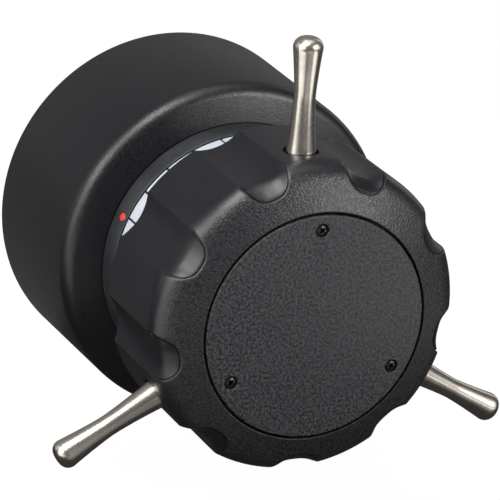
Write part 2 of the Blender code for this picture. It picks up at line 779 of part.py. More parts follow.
def make_scale_ring():
    bore = spigot_radius + SEAT_GAP
    points = [(bore, scale_front), (scale_radius, scale_front), (scale_radius, scale_back),
              (bore, scale_back)]
    ring = turned("scale_ring", points, white_scale, SCALE_MARKS * 2, knob_axis, closed=True)
    middle = scale_back - SCALE_MARK_LENGTH / 2 + OVERRUN / 2
    places = []
    for angle in spread(SCALE_MARKS, SCALE_OFFSET):
        spot = polar(scale_radius, angle, middle)
        places.append(Matrix.Translation(spot) @ Matrix.Rotation(angle, 4, "Y"))
    size = (SCALE_MARK_WIDTH, SCALE_MARK_LENGTH + OVERRUN, 2 * SCALE_MARK_DEPTH)
    cut(ring, boxes("graduations", places, size))


def make_index_ring():
    bore = nose_radius + SEAT_GAP
    points = [(bore, index_front), (index_front_radius - INDEX_EDGE, index_front),
              (index_front_radius, index_front + INDEX_EDGE),
              (index_back_radius, index_back), (bore, index_back)]
    ring = turned("index_ring", points, grey_ring, STEPS_LARGE, closed=True)
    slope = math.atan2(INDEX_FLARE, INDEX_LENGTH)
    middle = index_front + INDEX_LENGTH * index_dot_share
    surface = index_front_radius + INDEX_FLARE * index_dot_share
    frame = Matrix.Rotation(INDEX_DOT_ANGLE, 4, "Y") @ Matrix.Rotation(slope, 4, "X")
    spot = polar(surface, INDEX_DOT_ANGLE, middle)
    hole = turned("index_dot_hole", [(0, -OVERRUN), (INDEX_DOT_RADIUS + RUN_GAP, -OVERRUN),
                                     (INDEX_DOT_RADIUS + RUN_GAP, INDEX_DOT_LENGTH + SEAT_GAP),
                                     (0, INDEX_DOT_LENGTH + SEAT_GAP)],
                  None, STEPS_SMALL, centre=spot, frame=frame, group=cutters)
    cut(ring, as_cutter(hole))
    turned("index_dot", [(0, 0), (INDEX_DOT_RADIUS, 0), (INDEX_DOT_RADIUS, INDEX_DOT_LENGTH),
                         (0, INDEX_DOT_LENGTH)], red_mark, STEPS_SMALL, centre=spot, frame=frame)


# Housing: nose, sloping face, rounded shoulder and a side wall with a little draft

def make_housing():
    inner = housing_inner_radius
    bore = tube_radius + SEAT_GAP
    face_start = index_back_radius + SEAT_GAP
    points = [(bore, nose_front), (nose_radius, nose_front), (nose_radius, face_seat),
              (face_start, face_seat)]
    points += sloped_shoulder(face_start, face_seat, HOUSING_FACE_SLOPE, housing_front_radius,
                              HOUSING_SHOULDER)
    points += [(housing_back_radius, housing_back - HOUSING_EDGE),
               (housing_back_radius - HOUSING_EDGE, housing_back), (inner, housing_back),
               (inner, housing_inner_face), (nose_cavity_radius, housing_inner_face),
               (nose_cavity_radius, nose_front + NOSE_WALL), (bore, nose_front + NOSE_WALL)]
    housing = turned("housing_shell", points, black_housing, STEPS_LARGE, closed=True)
    screw_angles = spread(COVER_SCREW_COUNT, math.pi / COVER_SCREW_COUNT)
    bosses = axial_holes("cover_bosses", cover_screw_circle, screw_angles, COVER_BOSS_RADIUS,
                         boss_back - COVER_BOSS_LENGTH, boss_back, STEPS_SMALL)
    cut(housing, bosses, "UNION")
    cut(housing, axial_holes("cover_screw_threads", cover_screw_circle, screw_angles,
                             COVER_SCREW_RADIUS + RUN_GAP,
                             boss_back - COVER_SCREW_LENGTH, boss_back + OVERRUN))
    cut(housing, axial_holes("tube_screw_threads", tube_screw_circle, spread(TUBE_SCREW_COUNT),
                             TUBE_SCREW_RADIUS + RUN_GAP, flange_front - TUBE_SCREW_BITE,
                             flange_front + OVERRUN))


def make_back_cover():
    points = [(0, cover_inner), (cover_radius, cover_inner), (cover_radius, cover_outer),
              (PAD_RADIUS, cover_outer), (PAD_RADIUS, pad_face - PAD_EDGE),
              (PAD_RADIUS - PAD_EDGE, pad_face), (0, pad_face)]
    cover = turned("back_cover", points, black_housing, STEPS_LARGE)
    cut(cover, axial_holes("pad_threads", PAD_HOLE_CIRCLE,
                           spread(PAD_HOLE_COUNT, math.pi / PAD_HOLE_COUNT), PAD_HOLE_RADIUS,
                           pad_face - PAD_HOLE_DEPTH, pad_face + OVERRUN))
    screw_angles = spread(COVER_SCREW_COUNT, math.pi / COVER_SCREW_COUNT)
    cut(cover, axial_holes("cover_screw_holes", cover_screw_circle, screw_angles,
                           COVER_SCREW_RADIUS + SEAT_GAP, cover_inner - OVERRUN,
                           cover_outer + OVERRUN))
    cut(cover, axial_holes("socket_hole", socket_circle, [math.pi],
                           SOCKET_TAIL_RADIUS + SEAT_GAP, cover_inner - OVERRUN,
                           cover_outer + OVERRUN, STEPS_SMALL))
    for i, angle in enumerate(screw_angles):
        pan_screw(f"cover_screw_{i + 1}", cover_screw_circle, angle,
                  cover_outer + SEAT_GAP + COVER_SCREW_HEAD_HEIGHT,
                  COVER_SCREW_HEAD_RADIUS, COVER_SCREW_HEAD_HEIGHT, COVER_SCREW_RADIUS,
                  COVER_SCREW_LENGTH, black_steel, faces_front=False, recess=False)


def make_socket():
    centre = polar(socket_circle, math.pi, cover_outer + SEAT_GAP + SOCKET_LENGTH)
    frame = FACE_FRONT @ Matrix.Rotation(math.pi, 4, "X")
    floor = SOCKET_LENGTH - SOCKET_FLANGE + SEAT_GAP
    tail_end = SOCKET_LENGTH + SOCKET_TAIL_LENGTH
    points = [(0, floor), (SOCKET_BORE_RADIUS, floor), (SOCKET_BORE_RADIUS, 0),
              (socket_sleeve_radius, 0), (socket_sleeve_radius, SOCKET_LENGTH - SOCKET_FLANGE),
              (socket_flange_radius, SOCKET_LENGTH - SOCKET_FLANGE),
              (socket_flange_radius, SOCKET_LENGTH), (SOCKET_TAIL_RADIUS, SOCKET_LENGTH),
              (SOCKET_TAIL_RADIUS, tail_end), (0, tail_end)]
    turned("connector_socket", points, bare_aluminium, STEPS_MEDIUM, centre=centre,
           frame=frame)
    nut_front = cover_inner - SEAT_GAP - SOCKET_NUT_HEIGHT
    flat_piece("socket_nut", [hexagon(SOCKET_NUT_FLATS),
                              circle_outline(SOCKET_TAIL_RADIUS + SEAT_GAP, STEPS_SMALL)],
               nut_front, SOCKET_NUT_HEIGHT, bare_steel, centre=(0, -socket_circle))


# Hub on the shaft, held by a screw from the front

def make_hub():
    front = hub_spigot_front
    head_floor = front + SHAFT_SCREW_HEAD_HEIGHT
    head_radius = SHAFT_SCREW_HEAD_RADIUS + SEAT_GAP
    screw_hole = SHAFT_SCREW_RADIUS + SEAT_GAP
    points = [(head_radius, front), (HUB_SPIGOT_RADIUS, front), (HUB_SPIGOT_RADIUS, hub_front),
              (hub_flange_radius, hub_front), (hub_flange_radius, hub_boss_front),
              (hub_boss_radius, hub_boss_front), (hub_boss_radius, hub_boss_back),
              (hub_neck_radius, hub_boss_back), (hub_neck_radius, hub_neck_back),
              (shaft_bore, hub_neck_back), (shaft_bore, head_floor + SHAFT_COVER),
              (screw_hole, head_floor + SHAFT_COVER), (screw_hole, head_floor),
              (head_radius, head_floor)]
    hub = turned("knob_hub", points, bare_aluminium, STEPS_MEDIUM, knob_axis, closed=True)
    hub_angles = spread(HUB_SCREW_COUNT, HUB_SCREW_ANGLE)
    cut(hub, axial_holes("hub_screw_threads", hub_screw_circle, hub_angles,
                         HUB_SCREW_RADIUS + RUN_GAP, hub_front - OVERRUN,
                         hub_boss_front + OVERRUN))
    head_front = recess_floor
    for i, angle in enumerate(hub_angles):
        pan_screw(f"hub_screw_{i + 1}", hub_screw_circle, angle, head_front,
                  HUB_SCREW_HEAD_RADIUS, HUB_SCREW_HEAD_HEIGHT, HUB_SCREW_RADIUS,
                  KNOB_WEB - HUB_SCREW_HEAD_HEIGHT + HUB_FLANGE, bare_steel, knob_axis,
                  recess=False)
    pan_screw("shaft_screw", 0, 0, front - SEAT_GAP, SHAFT_SCREW_HEAD_RADIUS,
              SHAFT_SCREW_HEAD_HEIGHT, SHAFT_SCREW_RADIUS, SHAFT_SCREW_LENGTH, bare_steel,
              knob_axis, recess=False)


def make_shaft():
    groove = SHAFT_RADIUS - CLIP_GROOVE
    screw_bore = SHAFT_SCREW_RADIUS + RUN_GAP
    screw_end = hub_spigot_front - SEAT_GAP + SHAFT_SCREW_HEAD_HEIGHT + SHAFT_SCREW_LENGTH
    bore_back = screw_end + SEAT_GAP
    points = [(0, bore_back), (screw_bore, bore_back), (screw_bore, shaft_front),
              (SHAFT_RADIUS, shaft_front), (SHAFT_RADIUS, clip_front - RUN_GAP),
              (groove, clip_front - RUN_GAP), (groove, clip_back + RUN_GAP),
              (SHAFT_RADIUS, clip_back + RUN_GAP), (SHAFT_RADIUS, shaft_back), (0, shaft_back)]
    turned("main_shaft", points, bare_steel, STEPS_MEDIUM, knob_axis)
    ring = []
    inner = groove + RUN_GAP
    count = 14
    half = CLIP_MOUTH / 2
    for i in range(count + 1):
        angle = half + (math.tau - CLIP_MOUTH) * i / count
        ring.append((clip_radius * math.cos(angle), clip_radius * math.sin(angle)))
    for i in range(count + 1):
        angle = math.tau - half - (math.tau - CLIP_MOUTH) * i / count
        ring.append((inner * math.cos(angle), inner * math.sin(angle)))
    flat_piece("retaining_ring", [ring], clip_front, CLIP_THICKNESS, bare_steel, knob_axis)


# Drag unit

def make_drag_unit():
    bore = neck_bore
    points = [(bore, spring_front), (drag_spring_radius, spring_back - DRAG_SPRING_THICKNESS),
              (drag_spring_radius, spring_back), (bore, spring_front + DRAG_SPRING_THICKNESS)]
    turned("drag_spring", points, bare_steel, STEPS_MEDIUM, knob_axis, closed=True)
    points = [(bore, disc_front), (drag_disc_radius, disc_front), (drag_disc_radius, disc_back),
              (bore, disc_back)]
    turned("drag_disc", points, bare_steel, STEPS_MEDIUM, knob_axis, closed=True)
    points = [(drag_pad_bore, pad_ring_front), (drag_disc_radius, pad_ring_front),
              (drag_disc_radius, pad_ring_back), (drag_pad_bore, pad_ring_back)]
    turned("drag_pad", points, friction_fibre, STEPS_MEDIUM, closed=True)


# Bearing housing, bushes and screws

def make_bearings():
    points = [(tube_bore, tube_front), (tube_front_flange_radius, tube_front),
              (tube_front_flange_radius, tube_front + TUBE_FRONT_FLANGE),
              (tube_radius, tube_front + TUBE_FRONT_FLANGE), (tube_radius, flange_front),
              (tube_flange_radius, flange_front), (tube_flange_radius, flange_back),
              (tube_radius, flange_back), (tube_radius, tube_back), (tube_bore, tube_back)]
    tube = turned("bearing_housing", points, bare_aluminium, STEPS_MEDIUM, closed=True)
    cut(tube, axial_holes("tube_screw_holes", tube_screw_circle, spread(TUBE_SCREW_COUNT),
                          TUBE_SCREW_RADIUS + SEAT_GAP, flange_front - OVERRUN,
                          flange_back + OVERRUN))
    for i, angle in enumerate(spread(TUBE_SCREW_COUNT)):
        pan_screw(f"tube_screw_{i + 1}", tube_screw_circle, angle,
                  flange_back + SEAT_GAP + TUBE_SCREW_HEAD_HEIGHT, TUBE_SCREW_HEAD_RADIUS,
                  TUBE_SCREW_HEAD_HEIGHT, TUBE_SCREW_RADIUS, TUBE_FLANGE + TUBE_SCREW_BITE,
                  bare_steel, faces_front=False, recess=False)
    inner_end = tube_front + BUSH_LENGTH
    points = [(shaft_bore, front_bush_flange), (bush_flange_radius, front_bush_flange),
              (bush_flange_radius, front_bush_flange + BUSH_FLANGE),
              (bush_outer, front_bush_flange + BUSH_FLANGE), (bush_outer, inner_end),
              (shaft_bore, inner_end)]
    turned("front_bush", points, bronze, STEPS_MEDIUM, closed=True)
    start = tube_back - BUSH_LENGTH
    flange = tube_back + SEAT_GAP
    points = [(shaft_bore, start), (bush_outer, start), (bush_outer, flange),
              (bush_flange_radius, flange), (bush_flange_radius, rear_bush_flange_back),
              (shaft_bore, rear_bush_flange_back)]
    turned("rear_bush", points, bronze, STEPS_MEDIUM, closed=True)


# Gear train, end stop and sensor

def make_gear_train():
    towards_sensor = math.pi / 2 - SENSOR_ANGLE
    bore = shaft_bore
    gear_phase = towards_sensor + math.pi / GEAR_TEETH
    flat_piece("main_gear", [gear_outline(GEAR_TEETH, gear_phase),
                             circle_outline(gear_seat_radius + RUN_GAP, STEPS_MEDIUM),
                             circle_outline(STOP_PIN_RADIUS + RUN_GAP, STEPS_TINY,
                                            place_on_circle(stop_circle, 0))],
               gear_front, GEAR_THICKNESS, brass, knob_axis)
    shoulder = gear_back + SEAT_GAP
    points = [(bore, gear_front), (gear_seat_radius, gear_front), (gear_seat_radius, shoulder),
              (gear_hub_radius, shoulder), (gear_hub_radius, gear_hub_back),
              (bore, gear_hub_back)]
    hub = turned("gear_hub", points, bare_steel, STEPS_MEDIUM, knob_axis, closed=True)
    clamp_depth = (shoulder + gear_hub_back) / 2
    cut(hub, radial_holes("gear_clamp_thread", [math.pi], clamp_depth,
                          GEAR_CLAMP_SCREW_RADIUS + RUN_GAP, SHAFT_RADIUS,
                          gear_hub_radius + OVERRUN, STEPS_TINY))
    screw_start = SHAFT_RADIUS + SEAT_GAP
    turned("gear_clamp_screw", [(0, -gear_hub_radius), (GEAR_CLAMP_SCREW_RADIUS, -gear_hub_radius),
                                (GEAR_CLAMP_SCREW_RADIUS, -screw_start), (0, -screw_start)],
           black_steel, STEPS_TINY, knob_axis, centre=Vector((0, at_depth(clamp_depth), 0)),
           frame=Matrix.Rotation(math.pi, 4, "Y"))
    pin_front = chassis_back + STOP_PIN_GAP
    turned("stop_pin", [(0, pin_front), (STOP_PIN_RADIUS, pin_front),
                        (STOP_PIN_RADIUS, gear_back), (0, gear_back)],
           bare_steel, STEPS_TINY, knob_axis, centre=polar(stop_circle, 0, 0))
    pinion_phase = towards_sensor + math.pi
    pinion_bore = SENSOR_SHAFT_RADIUS + RUN_GAP
    flat_piece("sensor_pinion", [gear_outline(PINION_TEETH, pinion_phase),
                                 circle_outline(pinion_bore, STEPS_SMALL)],
               gear_front, GEAR_THICKNESS, brass, sensor_axis,
               centre=place_on_circle(gear_centres, SENSOR_ANGLE))


def make_end_stop():
    pin_swing = math.asin((STOP_PIN_RADIUS + SEAT_GAP) / stop_circle)
    half = math.pi - STOP_TRAVEL - pin_swing
    inner = stop_block_inner
    outer = inner + STOP_BLOCK_WIDTH
    front = chassis_back + SEAT_GAP
    back = gear_front - STOP_BLOCK_GAP
    count = 8
    outline = []
    for i in range(count + 1):
        angle = -math.pi / 2 - half + 2 * half * i / count
        outline.append((outer * math.cos(angle), outer * math.sin(angle)))
    for i in range(count + 1):
        angle = -math.pi / 2 + half - 2 * half * i / count
        outline.append((inner * math.cos(angle), inner * math.sin(angle)))
    flat_piece("stop_block", [outline], front, back - front, bare_steel)


def make_sensor():
    centre = polar(gear_centres, SENSOR_ANGLE, 0)
    spot = place_on_circle(gear_centres, SENSOR_ANGLE)
    neck_back = gear_front - SENSOR_NECK_GAP
    bore = SENSOR_SHAFT_RADIUS + RUN_GAP
    shaft_start = sensor_front + SENSOR_END_WALL
    shaft_end = gear_back + SENSOR_SHAFT_TAIL
    points = [(0, sensor_front), (SENSOR_RADIUS, sensor_front), (SENSOR_RADIUS, sensor_back),
              (SENSOR_NECK_RADIUS, sensor_back), (SENSOR_NECK_RADIUS, neck_back),
              (bore, neck_back), (bore, shaft_start), (0, shaft_start)]
    turned("sensor_body", points, dark_plastic, STEPS_MEDIUM, centre=centre)
    start = shaft_start + SEAT_GAP
    points = [(0, start), (SENSOR_SHAFT_RADIUS, start), (SENSOR_SHAFT_RADIUS, shaft_end),
              (0, shaft_end)]
    turned("sensor_shaft", points, bare_steel, STEPS_MEDIUM, sensor_axis, centre=centre)
    flat_piece("sensor_nut", [hexagon(SENSOR_NUT_FLATS),
                              circle_outline(SENSOR_NECK_RADIUS + RUN_GAP, STEPS_MEDIUM)],
               chassis_back + SEAT_GAP, SENSOR_NUT_HEIGHT, bare_steel, centre=spot)


# Chassis plate, posts, circuit board

def make_chassis():
    post_angles = spread(POST_COUNT, POST_ANGLE)
    stud_hole = POST_STUD_RADIUS + SEAT_GAP
    holes = [circle_outline(tube_radius + SEAT_GAP, STEPS_MEDIUM),
             circle_outline(SENSOR_NECK_RADIUS + SEAT_GAP, STEPS_MEDIUM,
                            place_on_circle(gear_centres, SENSOR_ANGLE)),
             circle_outline(CABLE_HOLE_RADIUS, STEPS_TINY,
                            place_on_circle(gear_centres, SENSOR_ANGLE + CABLE_ANGLE))]
    holes += [circle_outline(stud_hole, STEPS_TINY, place_on_circle(post_circle, angle))
              for angle in post_angles]
    flat_piece("chassis_plate", [circle_outline(chassis_radius, STEPS_MEDIUM)] + holes,
               chassis_front, CHASSIS_THICKNESS, bare_aluminium)
    post_front = housing_inner_face + SEAT_GAP
    post_back = chassis_front - SEAT_GAP
    stud_back = chassis_back + POST_STUD_LENGTH
    board_stud_back = board_back + SEAT_GAP + BOARD_NUT_HEIGHT
    socket_depth = stud_back + SEAT_GAP
    for i, angle in enumerate(post_angles):
        points = [(0, post_front), (POST_RADIUS, post_front), (POST_RADIUS, post_back),
                  (POST_STUD_RADIUS, post_back), (POST_STUD_RADIUS, stud_back), (0, stud_back)]
        turned(f"chassis_post_{i + 1}", points, bare_steel, STEPS_TINY,
               centre=polar(post_circle, angle, 0))
        points = [(0, socket_depth), (stud_hole, socket_depth), (stud_hole, board_post_front),
                  (POST_RADIUS, board_post_front), (POST_RADIUS, board_post_back),
                  (POST_STUD_RADIUS, board_post_back), (POST_STUD_RADIUS, board_stud_back),
                  (0, board_stud_back)]
        turned(f"board_post_{i + 1}", points, bare_steel, STEPS_TINY,
               centre=polar(post_circle, angle, 0))
        flat_piece(f"board_nut_{i + 1}", [hexagon(BOARD_NUT_FLATS),
                                          circle_outline(stud_hole, STEPS_TINY)],
                   board_back + SEAT_GAP, BOARD_NUT_HEIGHT, bare_steel,
                   centre=place_on_circle(post_circle, angle))
    board_holes = [circle_outline(stud_hole, STEPS_TINY, place_on_circle(post_circle, angle))
                   for angle in post_angles]
    flat_piece("circuit_board", [circle_outline(board_radius, STEPS_MEDIUM)] + board_holes,
               board_front, BOARD_THICKNESS, green_board)
    half = CHIP_SIZE / 2
    flat_piece("processor_chip", [[(-half, -half), (half, -half), (half, half), (-half, half)]],
               board_back + SEAT_GAP, CHIP_HEIGHT, dark_plastic)


def smooth_route(knots, count):
    route = []
    padded = [knots[0]] + knots + [knots[-1]]
    for i in range(len(knots) - 1):
        p0, p1, p2, p3 = padded[i:i + 4]
        for step in range(count):
            t = step / count
            route.append(0.5 * (2 * p1 + (p2 - p0) * t + (2 * p0 - 5 * p1 + 4 * p2 - p3) * t ** 2
                                + (3 * p1 - p0 - 3 * p2 + p3) * t ** 3))
    route.append(knots[-1])
    return route


def make_cable(name, knots, material):
    curve = bpy.data.curves.new(name, "CURVE")
    curve.dimensions = "3D"
    curve.bevel_depth = CABLE_RADIUS
    curve.bevel_resolution = 1
    curve.use_fill_caps = True
    route = smooth_route(knots, 4)
    spline = curve.splines.new("POLY")
    spline.points.add(len(route) - 1)
    for point, spot in zip(spline.points, route):
        point.co = (*spot, 1)
    item = bpy.data.objects.new(name, curve)
    parts.objects.link(item)
    return finish_piece(item, material)


def make_cables():
    sensor = polar(gear_centres, SENSOR_ANGLE, 0)
    lane = polar(gear_centres, SENSOR_ANGLE + CABLE_ANGLE, 0)
    across = (lane - sensor).normalized()
    swing = (lane - sensor).length
    edge = SENSOR_RADIUS + SEAT_GAP
    outlet = sensor_back - (sensor_back - sensor_front) * cable_outlet_share
    lead = edge + (swing - edge) * cable_lead_share
    turn = outlet + (sensor_back - outlet) * cable_turn_share
    knots = [sensor + across * reach + Vector((0, depth, 0))
             for reach, depth in ((edge, outlet), (lead, outlet), (swing, turn),
                                  (swing, chassis_front), (swing, board_post_back))]
    make_cable("sensor_cable", knots, dark_plastic)
    tail_front = cover_outer + SEAT_GAP - SOCKET_TAIL_LENGTH
    knots = [polar(socket_circle, math.pi, tail_front - SEAT_GAP),
             polar(socket_circle, math.pi, board_back + SEAT_GAP)]
    make_cable("socket_cable", knots, dark_plastic)


make_knob()
make_front_plate()
make_spokes()
make_scale_ring()
make_index_ring()
make_housing()
make_back_cover()
make_socket()
make_hub()
make_shaft()
make_drag_unit()
make_bearings()
make_gear_train()
make_end_stop()
make_sensor()
make_chassis()
make_cables()

for piece in parts.objects:
    if piece.type == "MESH":
        shade(piece)
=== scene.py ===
import math

import bmesh
import bpy
from mathutils import Matrix, Quaternion, Vector


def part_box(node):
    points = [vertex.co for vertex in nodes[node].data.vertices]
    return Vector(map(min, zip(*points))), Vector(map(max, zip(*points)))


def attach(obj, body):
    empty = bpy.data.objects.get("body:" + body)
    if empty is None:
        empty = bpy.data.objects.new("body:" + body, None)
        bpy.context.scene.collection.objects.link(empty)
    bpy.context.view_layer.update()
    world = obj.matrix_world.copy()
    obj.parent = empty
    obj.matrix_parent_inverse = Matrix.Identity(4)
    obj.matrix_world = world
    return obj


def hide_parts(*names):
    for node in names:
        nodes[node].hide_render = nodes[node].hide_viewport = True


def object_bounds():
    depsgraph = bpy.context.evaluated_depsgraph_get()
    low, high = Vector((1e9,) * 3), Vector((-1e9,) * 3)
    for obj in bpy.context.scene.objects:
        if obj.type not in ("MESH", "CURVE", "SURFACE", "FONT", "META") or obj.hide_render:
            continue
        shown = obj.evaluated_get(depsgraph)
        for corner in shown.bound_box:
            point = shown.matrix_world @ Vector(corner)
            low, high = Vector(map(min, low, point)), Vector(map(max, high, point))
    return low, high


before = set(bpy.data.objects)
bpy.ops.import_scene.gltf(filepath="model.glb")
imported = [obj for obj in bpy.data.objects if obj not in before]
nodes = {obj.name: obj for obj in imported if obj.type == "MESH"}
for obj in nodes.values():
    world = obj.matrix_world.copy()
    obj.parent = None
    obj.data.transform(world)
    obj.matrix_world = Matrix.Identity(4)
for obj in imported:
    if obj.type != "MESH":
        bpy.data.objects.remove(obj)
cadLow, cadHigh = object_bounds()

mm = 0.001
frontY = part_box("front_plate")[0].y   # the plate's face; depths are counted back from it
fullTurn = math.tau
print("frame loaded:", len(nodes), "nodes")


# Small tools for meshes

weldDistance = 0.004 * mm
sliverLength = 0.002 * mm


def toScene(x, depth, z):   # a point in the knob's own millimetres, depth counted from the plate's face
    return Vector((x * mm, frontY + depth * mm, z * mm))


# Every place function takes a radius, an angle round the axis and a distance along it, in mm
def onAxis(radius, angle, depth):
    return toScene(radius * math.sin(angle), depth, radius * math.cos(angle))


def standing(circle, around, front, facing=1):
    def place(radius, angle, along):
        x = circle * math.sin(around) + radius * math.sin(angle)
        z = circle * math.cos(around) + radius * math.cos(angle)
        return toScene(x, front + facing * along, z)
    return place


def outwards(around, depth):
    axis = Vector((math.sin(around), 0, math.cos(around)))
    side = Vector((math.cos(around), 0, -math.sin(around)))

    def place(radius, angle, along):
        middle = axis * (along * mm) + toScene(0, depth, 0)
        return middle + (side * math.sin(angle) - Vector((0, 1, 0)) * math.cos(angle)) * (radius * mm)
    return place


# Corners are (radius, distance along, rounding); the rounding is drawn as short arcs
def roundedProfile(corners, closed=True):
    points = []
    last = len(corners) - 1
    for i, (radius, along, rounding) in enumerate(corners):
        here = Vector((radius, along))
        if rounding == 0 or (not closed and i in (0, last)):
            points.append(here)
            continue
        before = Vector(corners[i - 1][:2]) - here
        after = Vector(corners[(i + 1) % len(corners)][:2]) - here
        half = before.angle(after) / 2
        reach = rounding / math.tan(half)
        centre = here + (before.normalized() + after.normalized()).normalized() * (rounding / math.sin(half))
        start = (here + before.normalized() * reach - centre).normalized()
        end = (here + after.normalized() * reach - centre).normalized()
        pieces = max(3, min(18, round(rounding * 2.4)))
        for k in range(pieces + 1):
            points.append(centre + start.slerp(end, k / pieces) * rounding)
    return points


def evenAngles(count, shift=0.0):
    return [fullTurn * (i + shift) / count for i in range(count)]


def plainMesh(work, name):
    mesh = bpy.data.meshes.new(name)
    work.to_mesh(mesh)
    work.free()
    return mesh


def meshFrom(work, name):
    bmesh.ops.remove_doubles(work, verts=work.verts, dist=weldDistance)
    bmesh.ops.dissolve_degenerate(work, edges=work.edges, dist=sliverLength)
    bmesh.ops.recalc_face_normals(work, faces=work.faces)
    return plainMesh(work, name)


def addObject(name, data):
    item = bpy.data.objects.new(name, data)
    bpy.context.scene.collection.objects.link(item)
    return item


def addLathe(work, corners, columns, place, closed=True):
    profile = roundedProfile(corners, closed)
    rings = []
    for point in profile:
        if abs(point.x) < 1e-6:
            rings.append([work.verts.new(place(0, 0, point.y))] * columns)
        else:
            rings.append([work.verts.new(place(point.x, fullTurn * c / columns, point.y))
                          for c in range(columns)])
    pairs = list(zip(rings, rings[1:]))
    if closed:
        pairs.append((rings[-1], rings[0]))
    for one, two in pairs:
        for c in range(columns):
            d = (c + 1) % columns
            corner = []
            for vert in (one[c], one[d], two[d], two[c]):
                if vert not in corner:
                    corner.append(vert)
            if len(corner) > 2:
                work.faces.new(corner)


def lathe(name, corners, columns, place=onAxis, closed=True):
    work = bmesh.new()
    addLathe(work, corners, columns, place, closed)
    return addObject(name, meshFrom(work, name))


# Cuts or joins a set of turned bars, each (corners, columns, place), into a piece
def carve(item, bars, operation="DIFFERENCE"):
    work = bmesh.new()
    for corners, columns, place in bars:
        addLathe(work, corners, columns, place, closed=False)
    carveWith(item, addObject(item.name + "Tool", meshFrom(work, item.name + "Tool")), operation)


def carveWith(item, tool, operation="DIFFERENCE"):
    cut = item.modifiers.new("cut", "BOOLEAN")
    cut.operation = operation
    cut.solver = "EXACT"
    cut.object = tool
    bpy.context.view_layer.update()
    graph = bpy.context.evaluated_depsgraph_get()
    mesh = bpy.data.meshes.new_from_object(item.evaluated_get(graph))
    item.modifiers.clear()
    item.data = mesh
    bpy.data.objects.remove(tool, do_unlink=True)


def bar(radius, start, end):
    return [(0, start, 0), (radius, start, 0), (radius, end, 0), (0, end, 0)]


def settle(item, body, materials, stoodFor=(), sharpAngle=35):
    item.data.materials.clear()
    for material in materials:
        item.data.materials.append(material)
    item.data.shade_smooth()
    item.data.set_sharp_from_angle(angle=math.radians(sharpAngle))
    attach(item, body)
    if stoodFor:
        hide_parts(*stoodFor)


# Materials

def hexColor(text):
    channels = [int(text[i:i + 2], 16) / 255 for i in (0, 2, 4)]
    linear = [c / 12.92 if c <= 0.04045 else ((c + 0.055) / 1.055) ** 2.4 for c in channels]
    return (*linear, 1)


def perMetre(size):   # how many pattern cells of this many mm fit in a metre
    return 1000 / size


# Adds a node: its own settings by name, its sockets by name or number, linked where given a socket
def addNode(tree, kind, sockets=None, **settings):
    node = tree.nodes.new("ShaderNode" + kind)
    for name, value in settings.items():
        setattr(node, name, value)
    for name, value in (sockets or {}).items():
        if isinstance(value, bpy.types.NodeSocket):
            tree.links.new(value, node.inputs[name])
        else:
            node.inputs[name].default_value = value
    return node


def startMaterial(name, specular=0.5, metallic=0.0):
    material = bpy.data.materials.new(name)
    material.use_nodes = True
    tree = material.node_tree
    shader = tree.nodes["Principled BSDF"]
    shader.inputs["Specular IOR Level"].default_value = specular
    shader.inputs["Metallic"].default_value = metallic
    return material, tree, shader, addNode(tree, "TexCoord").outputs["Object"]


def mixColors(tree, share, one, two):
    return addNode(tree, "Mix", {0: share, 6: one, 7: two}, data_type="RGBA").outputs[2]


def mixHex(tree, share, one, two):
    return mixColors(tree, share, hexColor(one), hexColor(two))


def spreadValue(tree, value, low, high, fromLow=0.3, fromHigh=0.7):
    return addNode(tree, "MapRange", {"Value": value, "From Min": fromLow, "From Max": fromHigh,
                                      "To Min": low, "To Max": high}).outputs["Result"]


def addNoise(tree, where, size, detail, roughness=0.5, output="Fac"):
    return addNode(tree, "TexNoise", {"Vector": where, "Scale": perMetre(size), "Detail": detail,
                                      "Roughness": roughness}).outputs[output]


# Wires a colour, a roughness and a bump, whose full height is in mm, to the shader
def wireShader(tree, shader, color, rough, relief, height):
    tree.links.new(color, shader.inputs["Base Color"])
    tree.links.new(rough, shader.inputs["Roughness"])
    bump = addNode(tree, "Bump", {"Height": relief, "Distance": height * mm, "Strength": 1.0})
    tree.links.new(bump.outputs["Normal"], shader.inputs["Normal"])
    return bump


# Satin black powder coat on cast aluminium: a fine peel that breaks up the soft highlight
housingLook = {"dark": "08080b", "light": "0d0d12", "rough": (0.28, 0.46), "peel": 0.75,
               "peelHeight": 0.045, "drift": 22}


def makeHousingPaint():
    look = housingLook
    material, tree, shader, where = startMaterial("powderCoatedAluminium")
    peel = addNoise(tree, where, look["peel"], 3, 0.6)
    drift = addNoise(tree, where, look["drift"], 3)
    wireShader(tree, shader, mixHex(tree, drift, look["dark"], look["light"]),
               spreadValue(tree, peel, *look["rough"]), peel, look["peelHeight"])
    return material


# Moulded rubber-like coat on the knob: leather grain on the face, nearly smooth in the grooves
knobLook = {"dark": "0a0a0e", "light": "111116", "grainDark": "0a0a0d", "grainLight": "2f2f34",
            "rough": (0.30, 0.40), "grainRough": (0.30, 0.52), "grain": 0.66, "grainHeight": 0.06,
            "fine": 0.42, "fineHeight": 0.018, "warp": 1.1, "drift": 9}


